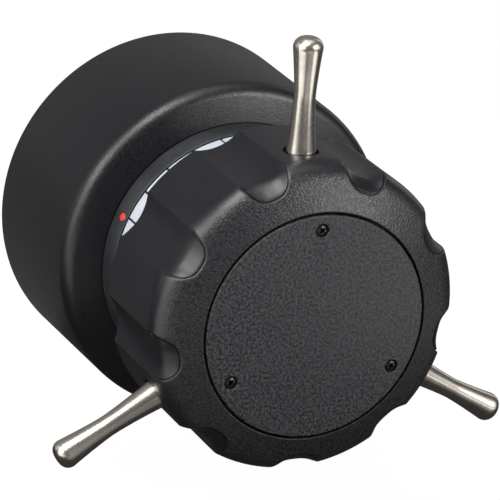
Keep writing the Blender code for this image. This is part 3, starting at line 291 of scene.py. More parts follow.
def makeKnobCoat():
    look = knobLook
    material, tree, shader, where = startMaterial("mouldedSoftCoat")
    mask = addNode(tree, "Attribute", attribute_name="grainShare").outputs["Fac"]
    warp = addNoise(tree, where, look["grain"] * 1.6, 2, output="Color")
    shift = addNode(tree, "VectorMath", {0: warp, 3: look["warp"] * mm}, operation="SCALE").outputs[0]
    moved = addNode(tree, "VectorMath", {0: where, 1: shift}, operation="ADD").outputs[0]
    cells = addNode(tree, "TexVoronoi", {"Vector": moved, "Scale": perMetre(look["grain"]),
                                         "Smoothness": 0.35}, feature="SMOOTH_F1").outputs["Distance"]
    fine = addNoise(tree, where, look["fine"], 3, 0.62)
    drift = addNoise(tree, where, look["drift"], 4)
    tops = spreadValue(tree, cells, 1, 0, 0.15, 0.75)
    speckle = addNode(tree, "Math", {0: tops, 1: fine}, operation="MULTIPLY").outputs[0]
    smooth = mixHex(tree, drift, look["dark"], look["light"])
    grained = mixHex(tree, speckle, look["grainDark"], look["grainLight"])
    rough = addNode(tree, "Mix", {0: mask, 2: spreadValue(tree, drift, *look["rough"]),
                                  3: spreadValue(tree, fine, *look["grainRough"])}).outputs[0]
    grainTop = addNode(tree, "Math", {0: tops, 1: mask}, operation="MULTIPLY").outputs[0]
    high = wireShader(tree, shader, mixColors(tree, mask, smooth, grained), rough, grainTop,
                      look["grainHeight"])
    low = addNode(tree, "Bump", {"Height": fine, "Distance": look["fineHeight"] * mm, "Strength": 1.0})
    tree.links.new(low.outputs["Normal"], high.inputs["Normal"])
    return material


# Bead-blasted, black anodised plate: a fine sandy grain that scatters the light evenly
plateLook = {"dark": "08090a", "light": "343538", "rough": (0.42, 0.60), "grain": 0.85,
             "grainHeight": 0.11, "spread": (0.36, 0.64)}


def makePlateFinish():
    look = plateLook
    material, tree, shader, where = startMaterial("blastedBlackAnodised", specular=0.4)
    grain = addNoise(tree, where, look["grain"], 2, 0.6)
    tone = spreadValue(tree, grain, 0, 1, *look["spread"])
    wireShader(tree, shader, mixHex(tree, tone, look["dark"], look["light"]),
               spreadValue(tree, grain, *look["rough"]), grain, look["grainHeight"])
    return material


# A paint or plastic of one colour, with a slow drift in tone and a fine peel
def makePaint(name, dark, light, rough, grain=0.6, height=0.008):
    material, tree, shader, where = startMaterial(name)
    drift = spreadValue(tree, addNoise(tree, where, 7, 4), 0, 1)
    fine = addNoise(tree, where, grain, 3)
    wireShader(tree, shader, mixHex(tree, drift, dark, light), spreadValue(tree, fine, *rough), fine,
               height)
    return material


# A machined or ground metal: a fine unevenness in its polish, and a slow drift in tone
def makeMetal(name, dark, light, rough, grain=0.35, height=0.003):
    material, tree, shader, where = startMaterial(name, metallic=1.0)
    drift = spreadValue(tree, addNoise(tree, where, 6, 3), 0, 1)
    fine = addNoise(tree, where, grain, 4, 0.65)
    wireShader(tree, shader, mixHex(tree, drift, dark, light), spreadValue(tree, fine, *rough), fine,
               height)
    return material


housingPaint = makeHousingPaint()
knobCoat = makeKnobCoat()
plateFinish = makePlateFinish()
# Anodised aluminium ring, a shade lighter than the housing, so that it reads as its own part
ringFinish = makePaint("greyAnodisedAluminium", "18191b", "222426", (0.34, 0.44))
# White baked enamel on the scale, slightly cool, half gloss
scaleEnamel = makePaint("whiteEnamel", "aab1b9", "b9bfc7", (0.34, 0.46), height=0.004)
# Engraving filled with black paint
engravingPaint = makePaint("blackFillPaint", "08080a", "101012", (0.5, 0.65))
# Red enamel dot, half gloss, the one colour on the object
redPaint = makePaint("redEnamel", "b42a28", "c43a36", (0.30, 0.42))
# Satin nickel on turned brass: warm white metal that mirrors the lamps as soft streaks
nickel = makeMetal("satinNickel", "bdb5ab", "cec7be", (0.22, 0.29), 0.25, 0.0004)
# Blackened steel of the screws: oily dark, with a low shine
blackSteel = makeMetal("blackenedSteel", "3c3c3e", "565658", (0.28, 0.40), 0.3)
# Inside pieces, each told apart at a glance: ground steel, aluminium, bronze, brass, fibre, board, plastic
bareSteel = makeMetal("groundSteel", "8f9092", "b0b1b3", (0.26, 0.42), 0.3)
bareAluminium = makeMetal("machinedAluminium", "a9acb0", "c8cbce", (0.28, 0.42))
bronze = makeMetal("sinteredBronze", "8a6538", "a67c48", (0.38, 0.55), 0.4, height=0.01)
brass = makeMetal("hobbedBrass", "a88345", "c9a45e", (0.26, 0.40), 0.3)
fibre = makePaint("pressedFibre", "3a2f24", "55483a", (0.80, 0.95), 0.4, 0.04)
boardLacquer = makePaint("greenSolderMask", "0d4a2a", "156338", (0.30, 0.44), 1.4, 0.01)
darkPlastic = makePaint("mouldedBlackPlastic", "151516", "222224", (0.42, 0.60), 0.5, 0.012)
print("materials made")


# The scalloped knob

knob = {"radius": 50.0, "depth": 43.8, "faceWidth": 13.6, "lip": 0.4, "slope": math.radians(24),
        "shoulder": 8.5, "backRounding": 0.6, "grooves": 9, "halfWidth": 9.0, "tipRadius": 43.2,
        "floorRadius": 47.4, "ramp": 0.78, "knee": 0.75, "blend": 7.0, "frontPower": 3.1,
        "backPower": 2.0, "edgeStep": 0.40, "lipWidth": 1.05, "lipDrop": 0.50, "stepStart": 8.5,
        "stepEnd": 12.5, "rowsSkirt": 16, "columnsNear": (0.0, 0.05, 0.14, 0.28, 0.46, 0.7, 1.05),
        "columnsOut": 7, "columnsIn": 11,
        # inside the lip runs a fine parting groove: distance inwards and depth there, in mm
        "parting": ((0.03, 0.30), (0.10, 0.42), (0.30, 0.42), (0.42, 0.20), (0.55, 0.0), (0.9, 0.0)),
        # how far the columns inside the groove bow back at its tip, and where that ends
        "bow": 3.2, "bowEnd": 6.0,
        # depths between which the leather grain fades out
        "grainFade": (4.4, 7.6),
        # the rounded back edge, as inset and depth behind the skirt
        "backEdge": ((0.08, 0.28), (0.30, 0.5), (0.6, 0.6)),
        # the inside from there: spigot, cavity, web, hub hole and plate seat, as radius, depth, rounding
        "inner": ((39.8, 43.8, 0.3), (39.8, 58.5, 0.4), (36.5, 58.5, 0.4), (36.5, 10.0, 1.0),
                  (11.0, 10.0, 0.3), (11.0, 2.9, 0.3), (36.4, 2.9, 0.5), (36.4, 0.8, 0.0),
                  (36.5, 0.46, 0.0)),
        # holes as radius, start and end, then where they stand
        "spokeSocket": (5.5, 47.8, 52), "spokeStud": (2.7, 38.0, 49.0), "plateScrew": (1.4, 2.0, 8.4),
        "hubHead": (3.0, 2.0, 5.2), "hubScrew": (1.8, 4.0, 11.5),
        "spokeDepth": 19.05, "plateCircle": 30.8, "hubCircle": 27.0}

# The front lip takes one point per row up to the corner and the back edge one per column, and the
# two have to match: so many rows go round the groove's end
knob["rowsRound"] = 2 * (len(knob["parting"]) + knob["columnsIn"] + len(knob["columnsNear"])
                         + knob["columnsOut"] - 1)

lip, slope, shoulder = knob["lip"], knob["slope"], knob["shoulder"]
lipRadius = knob["radius"] - knob["faceWidth"] + lip
shoulderRadius = knob["radius"] - shoulder
tangentRadius = shoulderRadius + shoulder * math.sin(slope)
faceLength = (tangentRadius - lipRadius) / math.cos(slope)
tangentDepth = lip + faceLength * math.sin(slope)
shoulderDepth = tangentDepth + shoulder * math.cos(slope)
arcLength = shoulder * (math.pi / 2 - slope)
skirtEnd = knob["depth"] - knob["backRounding"]


def onProfile(run):   # radius and depth at a length along the knob's profile from its front lip
    if run < faceLength:
        return lipRadius + run * math.cos(slope), lip + run * math.sin(slope)
    if run < faceLength + arcLength:
        angle = slope + (run - faceLength) / shoulder
        return shoulderRadius + shoulder * math.sin(angle), shoulderDepth - shoulder * math.cos(angle)
    return knob["radius"], shoulderDepth + run - faceLength - arcLength


def profileRadius(depth):
    if depth < tangentDepth:
        return lipRadius + (depth - lip) / math.tan(slope)
    if depth < shoulderDepth:
        return shoulderRadius + math.sqrt(shoulder ** 2 - (shoulderDepth - depth) ** 2)
    return knob["radius"]


def profileRun(depth):
    if depth < tangentDepth:
        return (depth - lip) / math.sin(slope)
    if depth < shoulderDepth:
        angle = math.acos((shoulderDepth - depth) / shoulder)
        return faceLength + (angle - slope) * shoulder
    return faceLength + arcLength + depth - shoulderDepth


def profileNormal(depth):   # the surface's outward direction, as (radial, along the depth)
    if depth < tangentDepth:
        return math.sin(slope), -math.cos(slope)
    if depth < shoulderDepth:
        cosine = (shoulderDepth - depth) / shoulder
        return math.sqrt(1 - cosine ** 2), -cosine
    return 1.0, 0.0


tipDepth = lip + (knob["tipRadius"] - lipRadius) * math.tan(slope)


# The groove's height over the axis, at a side offset from its middle: from the tip a ramp rises
# to the floor, and the turn between them is the soft knee that carries the highlight
def grooveHeight(x, depth):
    run = max(depth - tipDepth, 0)
    ramp = knob["tipRadius"] + run * knob["ramp"]
    soft = knob["knee"]
    floor = -soft * math.log(math.exp(-ramp / soft) + math.exp(-knob["floorRadius"] / soft))
    near = math.exp(-(run / knob["blend"]) ** 2)
    power = knob["backPower"] + (knob["frontPower"] - knob["backPower"]) * near
    return floor + (knob["radius"] - floor) * (abs(x) / knob["halfWidth"]) ** power


def gapAt(x, depth):
    return math.sqrt(profileRadius(depth) ** 2 - x * x) - grooveHeight(x, depth)


def bisect(test, low, high):
    for _ in range(40):
        middle = (low + high) / 2
        if test(middle) > 0:
            high = middle
        else:
            low = middle
    return (low + high) / 2


# One half of the groove's edge, from its front tip to the back of the skirt, evenly spaced
def grooveEdge():
    turnOver = 8.0      # side offset where the search changes from depth to width
    deepest = 16.0
    narrowest = 4.0
    fineSteps = 200
    points = [(0.0, tipDepth)]
    for i in range(1, fineSteps + 1):
        x = turnOver * i / fineSteps
        points.append((x, bisect(lambda depth: gapAt(x, depth), tipDepth - 0.5, deepest)))
    start = points[-1][1]
    for i in range(1, fineSteps + 1):
        depth = start + (skirtEnd - start) * i / fineSteps
        points.append((bisect(lambda x: -gapAt(x, depth), narrowest, knob["halfWidth"]), depth))
    return points


def polar(radius, angle, depth):
    return Vector((radius * math.sin(angle), depth, radius * math.cos(angle)))


def edgePoint(x, depth):
    radius = profileRadius(depth)
    return Vector((x, depth, math.sqrt(radius * radius - x * x)))


def surfaceNormal(point):
    radial, along = profileNormal(point.y)
    return polar(radial, math.atan2(point.x, point.z), along)


def smoothFade(value, start, end):
    share = max(0.0, min(1.0, (value - start) / (end - start)))
    return 1 - share * share * (3 - 2 * share)


def resampleEdge():
    points = [edgePoint(x, depth) for x, depth in grooveEdge()]
    lengths = [0.0]
    for one, two in zip(points, points[1:]):
        lengths.append(lengths[-1] + (two - one).length)
    bendEnd = next(l for p, l in zip(points, lengths) if p.y > knob["stepEnd"])
    stations = [bendEnd * i / knob["rowsRound"] for i in range(knob["rowsRound"])]
    rest = lengths[-1] - bendEnd
    stations += [bendEnd + rest * i / knob["rowsSkirt"] for i in range(knob["rowsSkirt"] + 1)]
    rows = []
    k = 0
    for station in stations:
        while k < len(lengths) - 2 and lengths[k + 1] < station:
            k += 1
        share = (station - lengths[k]) / (lengths[k + 1] - lengths[k])
        spot = points[k].lerp(points[k + 1], share)
        direction = (points[k + 1] - points[k]).normalized()
        rows.append((edgePoint(spot.x, spot.y), direction))
    rows[0] = (edgePoint(0, tipDepth), Vector((1, 0, 0)))
    return rows


# Columns of one row, from the middle of the groove out to the middle of the land
def grooveRow(index, spot, direction):
    normal = surfaceNormal(spot)
    away = normal.cross(direction).normalized()
    insideGroove = Vector((0, max(spot.y, 12), 46))
    if away.dot(insideGroove - spot) > 0:
        away = -away
    fade = smoothFade(spot.y, knob["stepStart"], knob["stepEnd"])
    least = 0.02
    step = knob["edgeStep"] * fade + least
    width = knob["lipWidth"] * fade + least
    height = knob["lipDrop"] * fade + least
    row = []
    for distance, sink in knob["parting"]:
        reached = spot - away * distance
        row.append(insidePoint(max(reached.x, 0.0), reached.y, step, sink * fade))
    reach = knob["parting"][-1][0]
    near = spot - away * reach
    nearX = max(near.x, 0.0)
    nearTip = tipDepth + reach * math.cos(slope)
    bow = knob["bow"] * math.exp(-(near.y - nearTip) / knob["bow"])
    middleDepth = near.y + bow * min(1.0, (skirtEnd - near.y) / knob["bowEnd"])
    for k in range(1, knob["columnsIn"] + 1):
        share = k / knob["columnsIn"]
        row.append(insidePoint(nearX * (1 - share), near.y + (middleDepth - near.y) * share, step, 0))
    row.reverse()
    for distance in knob["columnsNear"]:
        reached = spot + away * distance
        angle = math.atan2(reached.x, reached.z)
        depth = min(reached.y, skirtEnd) if index else reached.y
        radius = profileRadius(depth)
        outer = polar(radius, angle, depth)
        drop = 0.0
        if distance < width:
            drop = height * (1 - math.sqrt(1 - (1 - distance / width) ** 2))
        row.append(outer - surfaceNormal(outer) * drop)
    angle = math.atan2(outer.x, outer.z)
    run = profileRun(outer.y)
    borderAngle, borderRun = landBorder(index, run)
    for k in range(1, knob["columnsOut"] + 1):
        share = k / knob["columnsOut"]
        radius, depth = onProfile(run + (borderRun - run) * share)
        row.append(polar(radius, angle + (borderAngle - angle) * share, depth))
    return row


def insidePoint(x, depth, step, sink):
    point = Vector((x, depth, grooveHeight(x, depth)))
    normal = surfaceNormal(Vector((x, depth, math.sqrt(profileRadius(depth) ** 2 - x * x))))
    gap = gapAt(x, depth) * max(normal.z, 0.2)
    return point - normal * (math.hypot(max(gap, 0.0), step) - gap + sink)


# Where a row ends: along the front lip first, then down the middle of the land
def landBorder(index, run):
    half = math.pi / knob["grooves"]
    corner = knob["rowsRound"] // 2
    if index <= corner:
        return half * index / corner, 0.0
    if index <= knob["rowsRound"]:
        return half, borderStart * (index - corner) / (knob["rowsRound"] - corner)
    return half, run


def makeKnobSurface(work):
    rows = [grooveRow(i, spot, direction) for i, (spot, direction) in enumerate(edgeRows)]
    backRing = []
    frontRing = []
    corner = knob["rowsRound"] // 2
    for middle in evenAngles(knob["grooves"], 0.5):
        turn = Matrix.Rotation(middle, 3, "Y")
        for side in (-1, 1):
            grid = []
            for row in rows:
                turned = [turn @ Vector((side * p.x, p.y, p.z)) for p in row]
                grid.append([work.verts.new(toScene(*p)) for p in turned])
            for one, two in zip(grid, grid[1:]):
                for a, b, c, d in zip(one, one[1:], two[1:], two):
                    work.faces.new((a, b, c, d) if side > 0 else (d, c, b, a))
            # on the mirrored half both rings run the other way
            backRing += grid[-1][::side][:-1]
            frontRing += [row[-1] for row in grid[:corner + 1]][::side][:-1]
    return backRing, frontRing


edgeRows = resampleEdge()
borderStart = profileRun(edgeRows[knob["rowsRound"]][0].y)
print("groove edge:", len(edgeRows), "rows")


def joinRings(work, one, two):
    count = len(one)
    for i in range(count):
        j = (i + 1) % count
        work.faces.new((one[i], one[j], two[j], two[i]))


def ringAngles(ring):
    angles = []
    for vert in ring:
        angle = math.atan2(vert.co.x, vert.co.z)
        while angles and angle < angles[-1] - 1e-5:
            angle += fullTurn
        angles.append(angle)
    return angles


# The inside of the knob, from the scalloped back edge round to the front lip
def closeKnob(work, backRing, frontRing):
    backAngles = ringAngles(backRing)
    frontAngles = ringAngles(frontRing)
    previous = backRing
    for inset, depth in knob["backEdge"]:
        ring = []
        for vert in backRing:
            radius = math.hypot(vert.co.x, vert.co.z)
            share = (radius - inset * mm) / radius
            ring.append(work.verts.new((vert.co.x * share, frontY + (skirtEnd + depth) * mm,
                                        vert.co.z * share)))
        joinRings(work, previous, ring)
        previous = ring
    inner = roundedProfile(knob["inner"], closed=False)
    for k, point in enumerate(inner):
        share = k / (len(inner) - 1)
        ring = [work.verts.new(onAxis(point.x, a + (b - a) * share, point.y))
                for a, b in zip(backAngles, frontAngles)]
        joinRings(work, previous, ring)
        previous = ring
    joinRings(work, previous, frontRing)


def grainShares(item):   # how far each point carries the leather grain: the face does, the grooves don't
    layer = item.data.attributes.new("grainShare", "FLOAT", "POINT")
    pitch = fullTurn / knob["grooves"]
    for vert in item.data.vertices:
        radius = math.hypot(vert.co.x, vert.co.z) / mm
        depth = (vert.co.y - frontY) / mm
        share = 0.0
        if depth < skirtEnd and radius > lipRadius - 1:
            angle = math.atan2(vert.co.x, vert.co.z) % pitch - pitch / 2
            x = radius * math.sin(angle)
            inGroove = depth > tipDepth and abs(x) < knob["halfWidth"] and gapAt(x, depth) > -0.05
            share = 0.0 if inGroove else smoothFade(depth, *knob["grainFade"])
        layer.data[vert.index].value = share


def makeKnobBody():
    work = bmesh.new()
    backRing, frontRing = makeKnobSurface(work)
    closeKnob(work, backRing, frontRing)
    body = addObject("knobBody", meshFrom(work, "knobBody"))

    def radial(hole, columns):
        return [(bar(*knob[hole]), columns, outwards(angle, knob["spokeDepth"])) for angle in evenAngles(3)]

    def axial(hole, columns, circle, shift):
        return [(bar(*knob[hole]), columns, standing(knob[circle], angle, 0))
                for angle in evenAngles(3, shift)]

    carve(body, radial("spokeSocket", 64) + axial("plateScrew", 20, "plateCircle", 0)
          + axial("hubHead", 24, "hubCircle", 0.5))
    carve(body, radial("spokeStud", 24) + axial("hubScrew", 20, "hubCircle", 0.5))
    grainShares(body)
    settle(body, "knob", [knobCoat], ("knob_body",), 32)


makeKnobBody()
print("knob made")


# Front plate and its screws

plate = {"radius": 35.6, "thickness": 2.6, "edge": 0.4, "backEdge": 0.2, "screwCircle": knob["plateCircle"],
         "recess": 2.15, "recessDepth": 1.5, "countersink": (1.2, 0.22), "hole": (1.4, 0.5, 4),
         # the screws' head radius and height, shank radius and length, and their rise off the recess
         "screw": (1.70, 1.0, 1.1, 5.5), "screwRise": 0.3, "screwTurns": (0.80, 0.35, 0.70)}


def makePlate():
    face = lathe("frontPlate", [(0, 0, 0), (plate["radius"], 0, plate["edge"]),
                                (plate["radius"], plate["thickness"], plate["backEdge"]),
                                (0, plate["thickness"], 0)], 240, closed=False)
    depth = plate["recessDepth"]
    flare, flareDepth = plate["countersink"]
    recess = [(0, -1, 0), (plate["recess"] + flare, -1, 0), (plate["recess"], flareDepth, 0),
              (plate["recess"], depth, 0.25), (0, depth, 0)]
    places = [standing(plate["screwCircle"], angle, 0) for angle in evenAngles(3)]
    carve(face, [(recess, 48, place) for place in places])
    carve(face, [(bar(*plate["hole"]), 24, place) for place in places])
    settle(face, "knob", [plateFinish], ("front_plate",))


# A cross recess: a plus sign that narrows towards the bottom
def crossTool(name, place, length, width, depth, turned):
    work = bmesh.new()
    rings = []
    for along, reach, half in ((-0.4, length * 0.56, width * 0.55), (depth, length * 0.24, width * 0.36)):
        corners = [(half, reach), (half, half), (reach, half)]
        ring = []
        for quarter in range(4):
            around = turned + quarter * math.pi / 2
            ring += [work.verts.new(place(math.hypot(x, y), math.atan2(x, y) + around, along))
                     for x, y in corners]
        rings.append(ring)
    joinRings(work, *rings)
    for ring in rings:
        work.faces.new(ring)
    return addObject(name, meshFrom(work, name))


def makeScrew(name, place, sizes, turned, body, node):
    head, height, shank, length = sizes
    item = lathe(name, [(0, 0, 0), (head * 0.62, 0.02, head * 0.5), (head, height * 0.5, height * 0.3),
                        (head, height, 0.05), (shank, height, 0), (shank, height + length, shank * 0.3),
                        (0, height + length, 0)], 48, place, closed=False)
    carveWith(item, crossTool(name + "Cross", place, head * 1.25, head * 0.44, height * 1.7, turned))
    settle(item, body, [blackSteel], (node,), 30)


def makePlateScrews():
    front = plate["recessDepth"] - plate["screwRise"] - plate["screw"][1]
    for i, (angle, turned) in enumerate(zip(evenAngles(3), plate["screwTurns"])):
        makeScrew(f"plateScrew{i + 1}", standing(plate["screwCircle"], angle, front), plate["screw"],
                  turned, "knob", f"plate_screw_{i + 1}")


makePlate()
makePlateScrews()
print("plate and screws made")


# Spokes

spoke = {"base": 48.1, "tip": 85.7, "baseRadius": 4.8, "waistRadius": 3.3, "endRadius": 4.6,
         "endRound": 3.4, "waistShare": 0.56, "endPower": 1.35, "basePower": 1.6, "stud": 2.4,
         "studEnd": 38.3, "tipFlatness": 0.72}


def spokeProfile():
    bulb = spoke["tip"] - spoke["endRound"]
    waist = spoke["base"] + (bulb - spoke["base"]) * spoke["waistShare"]
    tipSteps = 15
    sideSteps = 24
    corners = []
    for i in range(tipSteps):
        angle = math.pi / 2 * i / tipSteps
        corners.append((spoke["endRadius"] * math.sin(angle) ** spoke["tipFlatness"],
                        bulb + spoke["endRound"] * math.cos(angle), 0))
    for i in range(sideSteps):
        share = 1 - i / sideSteps
        corners.append((spoke["waistRadius"] + (spoke["endRadius"] - spoke["waistRadius"])
                        * share ** spoke["endPower"], waist + (bulb - waist) * share, 0))
    for i in range(sideSteps + 1):
        share = i / sideSteps
        corners.append((spoke["waistRadius"] + (spoke["baseRadius"] - spoke["waistRadius"])
                        * share ** spoke["basePower"], waist + (spoke["base"] - waist) * share, 0))
    corners += [(spoke["stud"], spoke["base"], 0), (spoke["stud"], spoke["studEnd"], 0.3),
                (0, spoke["studEnd"], 0)]
    return corners


def makeSpokes():
    for i, angle in enumerate(evenAngles(3)):
        item = lathe(f"spoke{i + 1}", spokeProfile(), 64, outwards(angle, knob["spokeDepth"]), closed=False)
        settle(item, "knob", [nickel], (f"spoke_{i + 1}",), 50)


makeSpokes()
print("spokes made")


# Scale ring, index ring and red dot

scale = {"bore": 40.1, "radius": 42.0, "front": 44.1, "back": 58.9, "marks": 27, "markWidth": 0.8,
         "markDepth": 0.25, "markLength": 8.5, "offset": math.radians(1.33), "between": 7, "edge": 0.2,
         "frontEdge": 0.25, "backEdge": 0.3}


# The ring is turned with a column on each side of every mark, so that the engraving is sharp
def makeScaleRing():
    work = bmesh.new()
    half = scale["markWidth"] / 2 / scale["radius"]
    floorHalf = half * 0.85
    step = fullTurn / scale["marks"]
    angles = []
    for mark in range(scale["marks"]):
        middle = scale["offset"] + mark * step
        angles += [(middle - half, False), (middle - floorHalf, True), (middle + floorHalf, True),
                   (middle + half, False)]
        for i in range(1, scale["between"] + 1):
            angles.append((middle + half + (step - 2 * half) * i / (scale["between"] + 1), False))
    front, back, edge = scale["front"], scale["back"], scale["edge"]
    markStart = back - scale["markLength"]
    inset = scale["radius"] - scale["markDepth"]
    # radius, depth and whether the marks sink it
    outline = [(scale["bore"], front + edge, 0), (scale["bore"] + edge, front, 0),
               (scale["radius"] - scale["frontEdge"], front, 0),
               (scale["radius"], front + scale["frontEdge"], 0),
               (scale["radius"], markStart - 0.06, 0), (scale["radius"], markStart, 1),
               (scale["radius"], back - scale["backEdge"], 1),
               (scale["radius"] - scale["backEdge"], back, 1),
               (scale["bore"] + edge, back, 0), (scale["bore"], back - edge, 0)]
    columns = []
    for angle, sunk in angles:
        columns.append([work.verts.new(onAxis(min(radius, inset) if sunk and dips else radius,
                                              angle, depth)) for radius, depth, dips in outline])
    for c, (one, two) in enumerate(zip(columns, columns[1:] + columns[:1])):
        paint = angles[c][1] and angles[(c + 1) % len(angles)][1]
        for i in range(len(outline)):
            j = (i + 1) % len(outline)
            face = work.faces.new((one[i], two[i], two[j], one[j]))
            face.material_index = 1 if paint and outline[i][2] and outline[j][2] else 0
    ring = addObject("scaleRing", meshFrom(work, "scaleRing"))
    fill = [face.material_index for face in ring.data.polygons]
    settle(ring, "knob", [scaleEnamel, engravingPaint], ("scale_ring",), 25)
    ring.data.polygons.foreach_set("material_index", fill)


index = {"bore": 38.3, "front": 59.4, "back": 65.3, "frontRadius": 42.2, "backRadius": 43.6,
         "edge": 0.2, "frontEdge": 0.35, "dotAngle": math.radians(-66.5), "dotShare": 0.40,
         "dotRadius": 1.3, "dotGap": 0.1, "dotLength": 2.0}


def makeIndexRing():
    edge = index["edge"]
    ring = lathe("indexRing", [(index["bore"], index["front"], edge),
                               (index["frontRadius"], index["front"], index["frontEdge"]),
                               (index["backRadius"], index["back"], edge),
                               (index["bore"], index["back"], edge)], 240)
    flare = index["backRadius"] - index["frontRadius"]
    length = index["back"] - index["front"]
    centre = onAxis(index["frontRadius"] + flare * index["dotShare"], index["dotAngle"],
                    index["front"] + length * index["dotShare"])
    tilt = math.atan2(flare, length)
    sine, cosine = math.sin(index["dotAngle"]), math.cos(index["dotAngle"])
    side = Vector((cosine, 0, -sine))
    out = Vector((sine * math.cos(tilt), -math.sin(tilt), cosine * math.cos(tilt)))
    along = out.cross(side)

    def dotPlace(size, angle, rise):
        return centre + (side * math.sin(angle) + along * math.cos(angle)) * (size * mm) + out * (rise * mm)

    radius, bottom = index["dotRadius"], -index["dotLength"]
    carve(ring, [(bar(radius + index["dotGap"], bottom - 0.3, 1), 40, dotPlace)])
    settle(ring, "housing", [ringFinish], ("index_ring",), 30)
    dot = lathe("indexDot", [(0, 0.06, 0), (radius * 0.7, 0.03, 0), (radius, -0.08, 0.06),
                             (radius, bottom, 0), (0, bottom, 0)], 40, dotPlace, closed=False)
    settle(dot, "housing", [redPaint], ("index_dot",), 40)


makeScaleRing()
makeIndexRing()
print("scale and index made")


# Housing, back cover and socket

housing = {"noseRadius": 38.0, "noseFront": 60.2, "noseWall": 3.6, "noseInner": 34.5, "bore": 12.3,
           "face": 65.6, "faceStart": 43.9, "radius": 55.4, "backRadius": 56.2, "shoulder": 5.2,
           "slope": math.radians(14), "back": 123.6, "inner": 52.4, "innerFace": 72.2,
           # bosses and holes as radius, start and end
           "screwCircle": 48.0, "boss": (5.2, 100.6, 119.6), "bossHole": (1.6, 108.6, 121),
           "tubeHole": (1.6, 61.2, 65)}


def makeHousing():
    bore, nose, front, face = [housing[part] for part in ("bore", "noseRadius", "noseFront", "face")]
    inner, innerFace, noseInner = housing["inner"], housing["innerFace"], housing["noseInner"]
    noseBack = front + housing["noseWall"]
    cornerDepth = face + (housing["radius"] - housing["faceStart"]) * math.tan(housing["slope"])
    shell = lathe("housingShell", [(bore, front, 0.2), (nose, front, 0.3), (nose, face, 0),
                                   (housing["faceStart"], face, 0.25),
                                   (housing["radius"], cornerDepth, housing["shoulder"]),
                                   (housing["backRadius"], housing["back"], 0.8),
                                   (inner, housing["back"], 0.4), (inner, innerFace, 1.2),
                                   (noseInner, innerFace, 0.4), (noseInner, noseBack, 0.8),
                                   (bore, noseBack, 0.2)], 288)
    places = [standing(housing["screwCircle"], angle, 0) for angle in evenAngles(4, 0.5)]
    carve(shell, [(bar(*housing["boss"]), 32, place) for place in places], "UNION")
    holes = [(bar(*housing["bossHole"]), 20, place) for place in places]
    holes += [(bar(*housing["tubeHole"]), 20, standing(tubeCircle, angle, 0)) for angle in evenAngles(3)]
    carve(shell, holes)
    settle(shell, "housing", [housingPaint], ("housing_shell",), 32)


tubeLow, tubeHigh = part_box("tube_screw_1")
tubeCircle = (tubeLow.z + tubeHigh.z) / 2 / mm
cover = {"inner": 119.9, "outer": 122.9, "radius": 52.1, "pad": 22.0, "padFace": 130.0,
         "holeCircle": 14.0, "hole": 2.1, "holeDepth": 8.0, "countersink": 0.5,
         "screwHole": (1.8, 119, 124), "screw": (2.8, 1.8, 1.5, 11.0), "screwRise": 2.1,
         "socketHole": (6.3, 119, 124), "socketCircle": 37.05}


def makeBackCover():
    radius, pad, face = cover["radius"], cover["pad"], cover["padFace"]
    inner, outer = cover["inner"], cover["outer"]
    plateBack = lathe("backCover", [(0, inner, 0), (radius, inner, 0.2), (radius, outer, 0.5),
                                    (pad, outer, 0.4), (pad, face, 0.9), (0, face, 0)], 240, closed=False)
    angles = evenAngles(4, 0.5)
    hole, depth, flare = cover["hole"], -cover["holeDepth"], cover["countersink"]
    threads = [(0, depth, 0), (hole, depth, 0), (hole, -flare, 0), (hole + flare, 0, 0),
               (hole + flare, 1, 0), (0, 1, 0)]
    bars = [(threads, 32, standing(cover["holeCircle"], angle, face)) for angle in angles]
    bars += [(bar(*cover["screwHole"]), 24, standing(housing["screwCircle"], angle, 0)) for angle in angles]
    bars.append((bar(*cover["socketHole"]), 48, standing(cover["socketCircle"], math.pi, 0)))
    carve(plateBack, bars)
    settle(plateBack, "housing", [housingPaint], ("back_cover",), 32)
    for i, angle in enumerate(angles):
        place = standing(housing["screwCircle"], angle, outer + cover["screwRise"], -1)
        makeScrew(f"coverScrew{i + 1}", place, cover["screw"], 0.3 + i * 0.5, "housing",
                  f"cover_screw_{i + 1}")


socket = {"bore": 6.6, "sleeve": 8.5, "flange": 9.5, "front": 129.7, "length": 6.5, "flangeDepth": 2.0,
          "tail": 6.0, "tailLength": 6.6, "floorSink": 0.3, "inlayGap": 0.15, "inlayRise": 0.8, "pins": 5,
          "pinCircle": 3.2, "pinRadius": 0.5, "pinRise": 2.6, "pinLength": 2.4}


